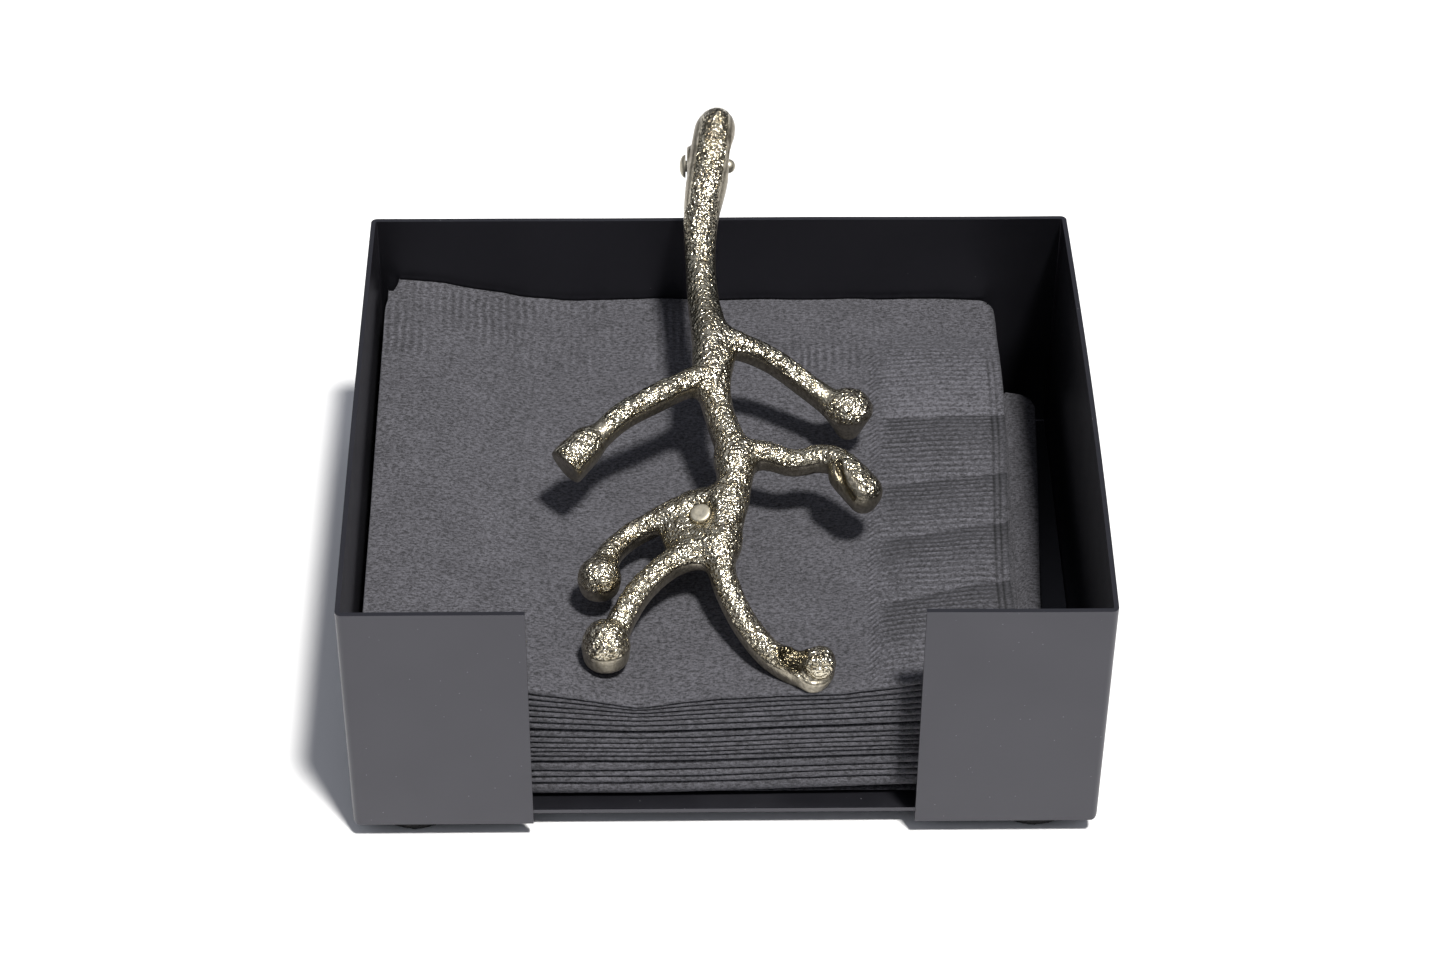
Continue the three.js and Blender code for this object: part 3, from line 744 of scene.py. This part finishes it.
def shape_stem_end(clay):
    """A ball in a groove, with a hollow beside it."""
    ball_at, ball_radius = BALL
    slices, place = clay.window(np.array(ball_at) - 9, np.array(ball_at) + 9)
    clay.join(slices, to_ellipsoid(place, ball_at, (ball_radius,) * 3), soft=0.3)
    ring = np.hypot(place[0] - ball_at[0], place[1] - ball_at[1]) - ball_radius - 0.25
    groove = np.hypot(ring, place[2] - ball_at[2] + 1.2) - BALL_GROOVE
    clay.cut(slices, groove)
    hollow_at, hollow_size = HOLLOW
    slices, place = clay.window(np.array(hollow_at) - 7, np.array(hollow_at) + 7)
    clay.cut(slices, to_ellipsoid(place, hollow_at, hollow_size), soft=0.6)


def cut_crease(clay):
    for crease_from, crease_to in itertools.pairwise(CREASE):
        slices, place = clay.window(np.array(crease_to) - 9, np.array(crease_to) + 9)
        line = to_segment(place, crease_from, crease_to, CREASE_RADIUS, CREASE_RADIUS)[0]
        clay.cut(slices, line, soft=0.6)


def shape_hinge_end(clay):
    """A slanted top, and a knuckle round the pin with flat sides, a slot for the lug and a hole."""
    shoulder_at, shoulder_facing = SHOULDER
    slices, place = clay.window(np.array(shoulder_at) - 14, np.array(shoulder_at) + 14)
    facing = Vector(shoulder_facing).normalized()
    above = sum((place[k] - shoulder_at[k]) * facing[k] for k in range(3))
    clay.field[slices] = rounded_max(clay.field[slices], above, 2.5)

    hinge = np.array([HINGE_X, HINGE_Y, HINGE_Z])
    slices, place = clay.window(hinge - 14, hinge + 14)
    sideways = np.abs(place[0] - HINGE_X)
    round_pin = np.sqrt((place[1] - HINGE_Y) ** 2 + (place[2] - HINGE_Z) ** 2)
    half = (KNUCKLE_RIGHT - KNUCKLE_LEFT) / 2
    clay.join(slices, rounded_max(round_pin - KNUCKLE_RADIUS, sideways - half, 0.8), soft=1.5)
    clay.cut(slices, rounded_max(half - sideways, round_pin - 7.5, 1.0), soft=0.6)
    clay.cut(slices, round_pin - PIN_HOLE_RADIUS)
    slices, place = clay.window(hinge - 24, hinge + 24)
    y, z = place[1] - HINGE_Y, place[2] - HINGE_Z
    rising = z * math.cos(SLOT_LIFT) - y * math.sin(SLOT_LIFT)
    turned = np.arctan2(z, y)
    in_corner = turned > math.pi / 2 + SLOT_LIFT
    outline = np.where(in_corner, np.hypot(y, z), np.maximum(-y, rising)) - SLOT_RADIUS
    clay.cut(slices, rounded_max(outline, np.abs(place[0] - HINGE_X) - SLOT_HALF_WIDTH, 0.3))


def cut_plug_seat(clay):
    """A flat seat and a socket for the plug."""
    slices, place = clay.window(np.array(PLUG_AT) - 9, np.array(PLUG_AT) + 9)
    offset = [place[k] - PLUG_AT[k] for k in range(3)]
    over = sum(offset[k] * WEB_FACING[k] for k in range(3))
    away = np.sqrt(np.maximum(sum(offset[k] ** 2 for k in range(3)) - over**2, 0))
    clay.cut(slices, rounded_max(away - PLUG_RADIUS - 0.9, PLUG_TOP - 0.15 - over, 0.8), soft=1.2)
    top = np.array(PLUG_AT) + 8 * np.array(WEB_FACING)
    foot = np.array(PLUG_AT) - (PLUG_DEPTH - PLUG_RADIUS) * np.array(WEB_FACING)
    distance, _ = to_segment(place, foot, top, PLUG_RADIUS + 0.08, PLUG_RADIUS + 0.08)
    clay.cut(slices, distance)


def make_twig(material):
    low, high = box_of("twig_arm")
    clay = Clay(low - 3, high + 3, CLAY_STEP)
    for step in (add_limbs, shape_stem_end, cut_crease, shape_hinge_end, cut_plug_seat):
        step(clay)
    twig = mesh_piece("twig_cast", *clay.surface())
    even = twig.modifiers.new("even", "SMOOTH")
    even.factor = 0.5
    even.iterations = 2
    freeze(twig)
    grain = twig_grain(millimetres(coordinates(twig)), normals(twig))
    roughen(twig, [(0.22, 2.8, 6), (0.20, 1.3, 7)], 0.1 + 0.9 * grain)
    twig.data.shade_smooth()
    # grain also gives the smooth sides their darker colour, which is painted shade
    paint(twig, "grain", grain)
    # painted shade in the hollow and crease, and darker patches at the hinge end
    paint(twig, "painted_shade_and_patches", twig_painted_shade_and_patches(millimetres(coordinates(twig))))
    return finish_piece(twig, "arm", material, ["twig_arm"])


def twig_grain(points, facing):
    """1 on the sandy upper surface, and near 0 on the smooth sides, the buds' skirts and necks, which
    the material also paints darker, as shade.
    """
    # sandy where the surface faces up; the sides and undersides get the darker painted-shade colour
    grain = np.clip((facing[:, 2] - 0.2) / 0.1, 0, 1)
    near_hinge = np.hypot(points[:, 1] - HINGE_Y, points[:, 2] - HINGE_Z) < 16
    grain[near_hinge] = np.clip((0.76 - np.abs(facing[near_hinge, 0])) / 0.1, 0, 1)
    for middle, _, radius, _, skirt, _ in BUDS.values():
        offset = points - np.array(middle)
        near = (np.hypot(offset[:, 0], offset[:, 1]) < radius + 1.2) & (offset[:, 2] > -skirt - 1)
        above = np.clip((offset[:, 2] + 0.3) / 0.4, 0, 1)
        grain = np.where(near & (np.abs(offset[:, 2]) < radius + 1.5), above, grain)
    start, end = (np.array(point) for point in BARS["upper_left"][:2])
    away = np.array(Vector(end - start).normalized())
    at_end = (np.linalg.norm(points - end, axis=1) < 9) & (facing @ away > 0.8)
    grain[at_end & ((points - end) @ away > -3)] = 0.0
    from_ball = np.linalg.norm(points - np.array(BALL[0]), axis=1)
    collar = (from_ball > BALL[1] + 0.15) & (from_ball < 5.4)
    grain = np.where(collar, 0.35 * grain, grain)
    for name in ("upper_left", "upper_right"):
        neck = np.array(LIMBS[name][-2][:3])
        apart = np.linalg.norm(points - neck, axis=1)
        grain = np.minimum(grain, 0.3 + 0.7 * np.clip((apart - 3.2) / 1.5, 0, 1))
    # the middle right bar is sandy only on its cap, to the right of the crease
    start, end = (np.array(point) for point in BARS["middle_right"][:2])
    across = np.array([start[1] - end[1], end[0] - start[0], 0]) / np.hypot(*(end - start)[:2])
    offset = points - (start + end) / 2
    beside = (np.linalg.norm(offset, axis=1) < 8.5) & (offset @ across < -1.9)
    return np.where(beside, 0.25 * grain, grain)


def twig_painted_shade_and_patches(points):
    """1 in the crease of the middle right bar and in the hollow at the stem's end, as painted shade,
    patchy and low on the hinge end, and 0 elsewhere."""
    hollow_at, hollow_size = HOLLOW
    reach = np.linalg.norm((points - np.array(hollow_at)) / (np.array(hollow_size) + 0.5), axis=1)
    from_ball = np.linalg.norm(points - np.array(BALL[0]), axis=1) - BALL[1]
    painted_shade_and_patches = np.clip((1.25 - reach) / 0.25, 0, 1) * np.clip(from_ball / 0.4, 0, 1)
    for start, end in itertools.pairwise(CREASE):
        gap = to_segment(points.T, start, end, CREASE_RADIUS, CREASE_RADIUS)[0]
        painted_shade_and_patches = np.maximum(painted_shade_and_patches, np.clip((0.5 - gap) / 0.4, 0, 1))
    patches = 0.38 + 0.8 * noise_at(points, 3.0, 23)
    return np.maximum(painted_shade_and_patches, np.clip(patches, 0, 0.7) * smoothstep(points[:, 1], 60, 76))


# ---------------------------------------------------------------- napkins

NAPKIN_COUNT = 18
SIDE_BORDER = 35.5
REAR_BORDER = 29.0
RIB_PITCH = 1.75
DASH_PITCH = 1.25
REAR_RIB_PITCH = 2.1
ROW_STEP = RIB_PITCH / 4.5
# thickness of each napkin's fold against the others', from the lowest, and the gaps under some
FOLD_SHARES = [2.0, 9.5, 5, 4.5, 7.5, 5, 3.6, 3.6, 3.6, 5, 5.5, 6, 5, 4.6, 4.6, 5.4, 4.6, 5.6]
GAPS_UNDER = {5: 1.0, 11: 1.6}
# valleys between the puckers of the embossed side border, and how much each one slants
PUCKER_VALLEYS = [-60.0, -38.0, -16.5, 2.5, 26.0, 58.0]
PUCKER_SLANTS = [0.2, 0.2, 0.14, 0.10, 0.0, 0.0]
PUCKER_HEIGHT = 1.5
PUCKER_MIDDLE = 57.0
# the stack against the CAD stack: its paper is puffed up at the front and at the rear left
FRONT_PUFF = 2.5
REAR_HEIGHT = 46.2
REAR_RISE = 7.6
SHIFT_RIGHT = 1.0
# the lowest napkins, as a bunch: how many, how far they slew to the right per millimetre behind
# BUNCH_FROM_Y, how far forward their rear right corner lies, and how high their right edge curls
LOWEST_BUNCH = 5
BUNCH_FROM_Y = -15
BUNCH_SLEW = 0.045
BUNCH_SETBACK = 11
BUNCH_CURL = 5.5
CORNER_RADIUS = 5.4


def stack_lines():
    """The stack's front top line as x values and heights, its front and rear, and its floor."""
    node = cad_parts[f"napkin_{NAPKIN_COUNT:02d}"]
    points = millimetres([v.co for v in node.data.vertices]).round(3)
    front, rear = points[:, 1].min(), points[:, 1].max()
    xs = np.unique(points[:, 0])
    heights = [points[(points[:, 0] == x) & (points[:, 1] == front), 2].max() for x in xs]
    return xs, np.array(heights) + FRONT_PUFF, front, rear, box_of("napkin_01")[0][2]


FRONT_XS, FRONT_HEIGHTS, STACK_FRONT, STACK_REAR, STACK_FLOOR = stack_lines()
FLAT_HEIGHT = 42.0


def smoothstep(value, low, high):
    share = np.clip((value - low) / (high - low), 0, 1)
    return share * share * (3 - 2 * share)


def front_line(x, spread):
    """Height of the stack's front top line, averaged over a width."""
    total = 0
    for shift in np.linspace(-spread, spread, 9):
        total = total + np.interp(np.clip(x + shift, FRONT_XS[0], FRONT_XS[-1]), FRONT_XS, FRONT_HEIGHTS)
    return total / 9


def stack_height(x, y, level):
    """Height of a layer of the stack; the dips of its top fade quickly in the layers below."""
    share = np.clip((y - STACK_FRONT) / (STACK_REAR - STACK_FRONT), 0, 1)
    rear_line = REAR_HEIGHT + REAR_RISE * (1 - smoothstep(x, -86, -41))
    broad = front_line(x, 20)
    wide = broad * (1 - share) + rear_line * share
    kink = 1.55 * (front_line(x, 1.2) - broad) * np.exp(-(y - STACK_FRONT) / 13)
    flat = FLAT_HEIGHT + 4 * share
    level = level ** (1 - 0.12 * share)
    return STACK_FLOOR + (flat - STACK_FLOOR) * level + (wide - flat) * level**2.6 + kink * level**5


def pucker_share(x, y):
    """Where a point lies between two valleys of the side border, from 0 in front to 1 behind, and
    how long that pucker is."""
    along = y - np.interp(y, PUCKER_VALLEYS, PUCKER_SLANTS) * (x - PUCKER_MIDDLE)
    along += 0.8 * noise_at(np.column_stack([x, y, 0 * x]), 12, 21)
    place = np.interp(along, PUCKER_VALLEYS, np.arange(len(PUCKER_VALLEYS)))
    number = np.minimum(place.astype(int), len(PUCKER_VALLEYS) - 2)
    length = np.diff(PUCKER_VALLEYS)[number]
    return place - number, length, number


def crumple(points, level):
    """Moves the whole stack's paper alike, most at its top: level is 0 at the floor and 1 on top."""
    x, y, z = points.T
    right = FRONT_XS[-1]
    slow = np.column_stack([x, y, np.zeros_like(x)])
    top = level**4
    lift = 0.45 * noise_at(slow, 34, 1) * level
    lift += 0.26 * noise_at(slow, 12, 2) * top
    inner = right - SIDE_BORDER
    side = smoothstep(x, inner - 2, inner + 9)
    share, length, _ = pucker_share(x, y)
    lift += (PUCKER_HEIGHT * 4 * share * (1 - share) * length / 22 - 0.6) * side * top
    lift += 0.5 * smoothstep(y, STACK_REAR - 9, STACK_REAR) * noise_at(slow, 9, 5) * level
    shift = 3.4 * (x - LEFT) / (RIGHT - LEFT) * (1 - smoothstep(y, -45, 35)) * level
    return np.column_stack([x - shift, y, z + lift])


def round_corner(x, y, right, rear, radius):
    """Rounds the rear right corner of the leaves."""
    u, v = (x - right + radius) / radius, (y - rear + radius) / radius
    in_corner = (u > 0) & (v > 0)
    u, v = np.where(in_corner, u, 1.0), np.where(in_corner, v, 1.0)
    pull = np.maximum(u, v) / np.hypot(u, v)
    new_x = np.where(in_corner, right - radius + radius * u * pull, x)
    new_y = np.where(in_corner, rear - radius + radius * v * pull, y)
    return new_x, new_y


def fold_line(radius):
    """Distances from a fold to sample: close together round it, in millimetres along the paper."""
    return list(np.linspace(0, math.pi / 2 * radius, 6)[1:])


def napkin_steps(index, width, depth):
    """Distances along the paper from the left fold and from the front fold: outer and inner leaf."""
    near_x, near_y = fold_line(0.4), fold_line(1.1)
    coarse_x = near_x + list(np.linspace(3, width - 3, 40)) + list(np.linspace(width - 2.4, width, 5))
    coarse_y = near_y + list(np.linspace(4, depth, 30))
    if index < NAPKIN_COUNT - 1:
        return coarse_x, coarse_x, coarse_y, coarse_y
    border = width - SIDE_BORDER
    fine_x = near_x + list(np.arange(3, border - 2.0, 2.2))
    fine_x += list(np.arange(border - 2.0, width, DASH_PITCH / 4)) + [width]
    fine_y = near_y + list(np.arange(2.5, depth, ROW_STEP)) + [depth]
    return fine_x, coarse_x, fine_y, coarse_y


def emboss(x, y, right, rear):
    """Relief in millimetres and painted light and shade of the top leaf's embossed side border."""
    place = np.column_stack([x, y, 0 * x])
    inner = right - SIDE_BORDER + 0.012 * (y + 20)
    fade = 1 - smoothstep(y, rear - 27, rear - 14)
    border = smoothstep(x, inner + 1.4, inner + 2.2) * fade
    border *= 1 - 0.75 * smoothstep(x, right - 4.6, right - 4.0)
    patchy = np.clip(0.85 + 0.7 * noise_at(place * [0.45, 1, 1], 5, 12), 0.35, 1.3)
    rows = (y + 0.35 * noise_at(place, 9, 11)) / RIB_PITCH
    row_wave = np.sin(2 * math.pi * rows)
    dash_wave = np.sin(2 * math.pi * (x / DASH_PITCH + 0.5 * np.floor(rows)))
    relief = 0.22 * row_wave * border * patchy + 0.06 * dash_wave * border
    # painted light and shade along the rib rows and dashes
    shade = (0.38 * row_wave + 0.16 * dash_wave * (0.5 + 0.5 * row_wave)) * border * patchy

    stitch = np.exp(-(((x - inner - 0.2) / 1.1) ** 2)) * (1 - smoothstep(y, rear - 27, rear - 20))
    slant = np.sin(2 * math.pi * (y - 0.9 * (x - inner)) / 1.7)
    relief += (0.22 * slant - 0.15) * stitch
    # painted light and shade along the stitch's slant
    shade += (0.50 * slant - 0.05) * stitch
    for distance, depth in ((3.9, 0.28), (2.4, 0.18)):
        line = np.exp(-(((x - right + distance) / 0.35) ** 2))
        line *= 1 - smoothstep(y, rear - 30, rear - 20)
        relief -= depth * line
        # painted shade in the groove
        shade -= 0.6 * line

    share, _, number = pucker_share(x, y)
    # painted light and shade of the puckers: lighter at the front of each, darker towards its rear
    tone = np.where(number < len(PUCKER_VALLEYS) - 2, 0.06 - 0.58 * share, 0.34 * (1 - share) ** 1.6)
    shade += tone * smoothstep(x, inner + 0.5, inner + 6) * (1 - smoothstep(y, rear - 18, rear - 6))
    step_line = smoothstep(y, rear - REAR_BORDER - 0.5, rear - REAR_BORDER + 0.5)
    relief -= 0.2 * step_line * (1 - smoothstep(x, inner - 6, inner))
    return relief, shade


def front_crease(x, y, front):
    """1 on the short crease that runs back from the lowest point of the front line, fading to 0."""
    from_line = np.abs(x - FRONT_XS[np.argmin(FRONT_HEIGHTS)])
    return np.exp(-from_line / 1.6) * np.exp(-(y - front) / 7)


def make_napkin(index, material, lower, upper):
    """One sheet folded in four: first at the left, then at the front, with its open edges at the
    right and the rear. s runs along the paper from the left fold, positive on the outer leaves,
    and t from the front fold, positive on the upper leaves."""
    node = f"napkin_{index + 1:02d}"
    low, high = box_of(node)
    width, depth = high[0] - low[0], high[1] - low[1]
    left = low[0] + SHIFT_RIGHT
    right = left + width
    front = STACK_FRONT + (1.6 if index == 0 else 0.12 * math.sin(5.1 * index))
    rear = front + depth
    outer_x, inner_x, upper_y, lower_y = napkin_steps(index, width, depth)
    s = np.array([-v for v in inner_x[::-1]] + [0.0] + list(outer_x))
    t = np.array([-v for v in lower_y[::-1]] + [0.0] + list(upper_y))
    columns, rows = len(s), len(t)
    s, t = (grid.ravel() for grid in np.meshgrid(s, t, indexing="ij"))

    # leaf is 0 for the lowest leaf and 3 for the top one
    side_radius, fold_radius = 0.3, 0.62
    s_angle = np.clip(s / side_radius, -math.pi / 2, math.pi / 2)
    s_side = np.sin(s_angle)
    nested = fold_radius * (1 + 0.5 * s_side)
    t_angle = np.clip(t / nested, -math.pi / 2, math.pi / 2)
    leaf = 1.5 + np.sin(t_angle) * (1 + 0.5 * s_side)

    def along(distance, angle, radius):
        """Distance in from the fold, for a bend of that radius and a flat leaf after it."""
        straight = np.maximum(np.abs(distance) - math.pi / 2 * radius, 0)
        return radius * (1 - np.cos(angle)) + straight

    seed = index * 7.7 + 1
    x = left + along(s, s_angle, side_radius)
    y = front + 1.5 * fold_radius - nested + along(t, t_angle, nested)
    open_x, open_y = (x - left) / width, (y - front) / depth
    stair = 0.25 * min(NAPKIN_COUNT - 1 - index, 6) * (1 - 0.8 * open_y) if index >= LOWEST_BUNCH else 0
    x += open_x * (0.35 * np.sin(seed + leaf * 2.1) - 0.35 + stair)
    y += open_y * (0.4 * np.sin(seed + leaf * 3.7) - 0.5)
    x += (1 - open_x) * 0.4 * np.sin(seed * 1.3 + 1.5 * (t > 0)) * open_y
    x, y = round_corner(x, y, right, rear, CORNER_RADIUS + 0.7 * math.sin(seed + 1))
    if index < LOWEST_BUNCH:
        x += BUNCH_SLEW * np.maximum(y - BUNCH_FROM_Y, 0)
        y -= BUNCH_SETBACK * open_x**3 * open_y
    y = np.minimum(y, REAR - 1.6)

    level = lower + (upper - lower) * (0.05 + 0.90 * leaf / 3)
    flap = 3.0 * smoothstep(x, -25, 62) * (1 - smoothstep(y, STACK_FRONT + 20, STACK_FRONT + 70))
    z = stack_height(x, y, level) + (flap * (1 - level) if index else 0)
    if 0 < index < LOWEST_BUNCH:
        z += BUNCH_CURL * smoothstep(x, 73.5, 78) * smoothstep(y, -64, -40) * index / LOWEST_BUNCH
    points = np.column_stack([x, y, z])
    edge_noise = noise_at(np.column_stack([x, y, leaf * 40 + seed * 11]), 7, 8)
    open_edge = np.maximum(smoothstep(open_x, 0.95, 1.0), smoothstep(open_y, 0.95, 1.0))
    points[:, 2] += 0.22 * edge_noise * open_edge
    if index >= LOWEST_BUNCH:
        points[:, 2] += 0.55 * smoothstep(x, right - 1.8, right) * (0.6 + edge_noise)
    front_edge = 1 - smoothstep(y, front, front + 6)
    wander = noise_at(np.column_stack([x, 0 * x, 0 * x + seed * 13]), 26, 9)
    frayed = noise_at(np.column_stack([x, 0 * x, 0 * x + seed * 13 + leaf]), 2.2, 19)
    points[:, 1] -= (0.22 * wander + 0.10 * frayed) * front_edge
    points = crumple(points, level)

    shade = 0.06 * noise_at(np.column_stack([x, y, 0 * x + seed * 5]), 16, 14)
    # painted shade: a dark line along each leaf's right edge
    shade -= 0.45 * smoothstep(open_x, 0.992, 1.0)
    is_top = index == NAPKIN_COUNT - 1
    if is_top:
        on_top = smoothstep(leaf, 2.6, 2.95)
        points[:, 0] += 3.2 * smoothstep(y, rear - 15, rear) ** 2 * (1 - smoothstep(open_x, 0.0, 0.12))
        # tone is the border's painted light and shade
        relief, tone = emboss(x, y, right, rear)
        crease = front_crease(x, y, front)
        points[:, 2] += (relief - 0.5 * crease) * on_top
        # painted light and shade of the border, and painted shade in the front crease
        shade += (tone - 0.35 * crease) * on_top
    grid = np.arange(columns * rows).reshape(columns, rows)
    quads = np.stack([grid[:-1, :-1], grid[1:, :-1], grid[1:, 1:], grid[:-1, 1:]], axis=-1)
    napkin = mesh_piece(f"napkin_sheet_{index + 1:02d}", points, quads.reshape(-1, 4))
    layers = {"shade": shade}
    if is_top:
        rear_ribs = smoothstep(y, rear - REAR_BORDER, rear - REAR_BORDER + 1) * on_top
        border = right - SIDE_BORDER
        layers["rear_ribs"] = rear_ribs * (1 - smoothstep(x, border - 8, border + 4))
    for name, values in layers.items():
        paint(napkin, name, values)
    finish_piece(napkin, "holder", material, [node])
    return napkin


def make_napkins(material):
    whole = sum(FOLD_SHARES) + sum(GAPS_UNDER.values())
    level = 0.0
    for index, share in enumerate(FOLD_SHARES):
        level += GAPS_UNDER.get(index, 0) / whole
        make_napkin(index, material, level, level + share / whole)
        level += share / whole


# ---------------------------------------------------------------- stage

CAMERA_AT = (-12.57, -683.9, 664.5)
CAMERA_TURN = (47.9128, -0.2959, -0.7846)
LENS = 90.34
TO_KEY_LIGHT = Vector((0.221, -0.312, 1))


def make_stage():
    size = 0.55
    corners = [(-size, -size, 0), (size, -size, 0), (size, size, 0), (-size, size, 0)]
    mesh = bpy.data.meshes.new("floor")
    mesh.from_pydata(corners, [], [(0, 1, 2, 3)])
    floor = add_object("floor", mesh)
    mesh.materials.append(pale_floor())

    key = bpy.data.lights.new("key", "SUN")
    key.energy = 4.9
    key.angle = math.radians(7)
    key.color = (1.0, 0.985, 0.955)
    lamp = bpy.data.objects.new("key", key)
    lamp.rotation_euler = TO_KEY_LIGHT.to_track_quat("Z", "Y").to_euler()
    bpy.context.scene.collection.objects.link(lamp)

    fill = bpy.data.lights.new("overhead_fill", "SUN")
    fill.energy = 0.80
    fill.angle = math.radians(120)
    fill.color = (0.88, 0.90, 1.0)
    bpy.context.scene.collection.objects.link(bpy.data.objects.new("overhead_fill", fill))

    world = bpy.data.worlds.new("soft_fill")
    world.use_nodes = True
    background = world.node_tree.nodes["Background"]
    background.inputs["Color"].default_value = (0.82, 0.90, 1.0, 1)
    background.inputs["Strength"].default_value = 0.08
    bpy.context.scene.world = world

    lens = bpy.data.cameras.new("camera")
    lens.lens = LENS
    lens.sensor_width = 36
    lens.clip_end = 20
    camera = bpy.data.objects.new("camera", lens)
    camera.location = metres(CAMERA_AT)
    camera.rotation_euler = [math.radians(angle) for angle in CAMERA_TURN]
    bpy.context.scene.collection.objects.link(camera)
    bpy.context.scene.camera = camera
    bpy.context.scene.view_settings.view_transform = "Standard"


make_stage()
coat, cast, plate, rubber, paper = (
    powder_coat(), cast_nickel(), polished_nickel(), pad_rubber(), napkin_paper(),
)
make_tray(coat)
for corner in ("front_left", "front_right", "rear_left", "rear_right"):
    make_pad(corner, rubber)
make_bracket(cast)
for place in ("upper", "lower"):
    make_rivet(place, coat)
make_pin(plate)
make_plug(plate)
make_twig(cast)
make_napkins(paper)
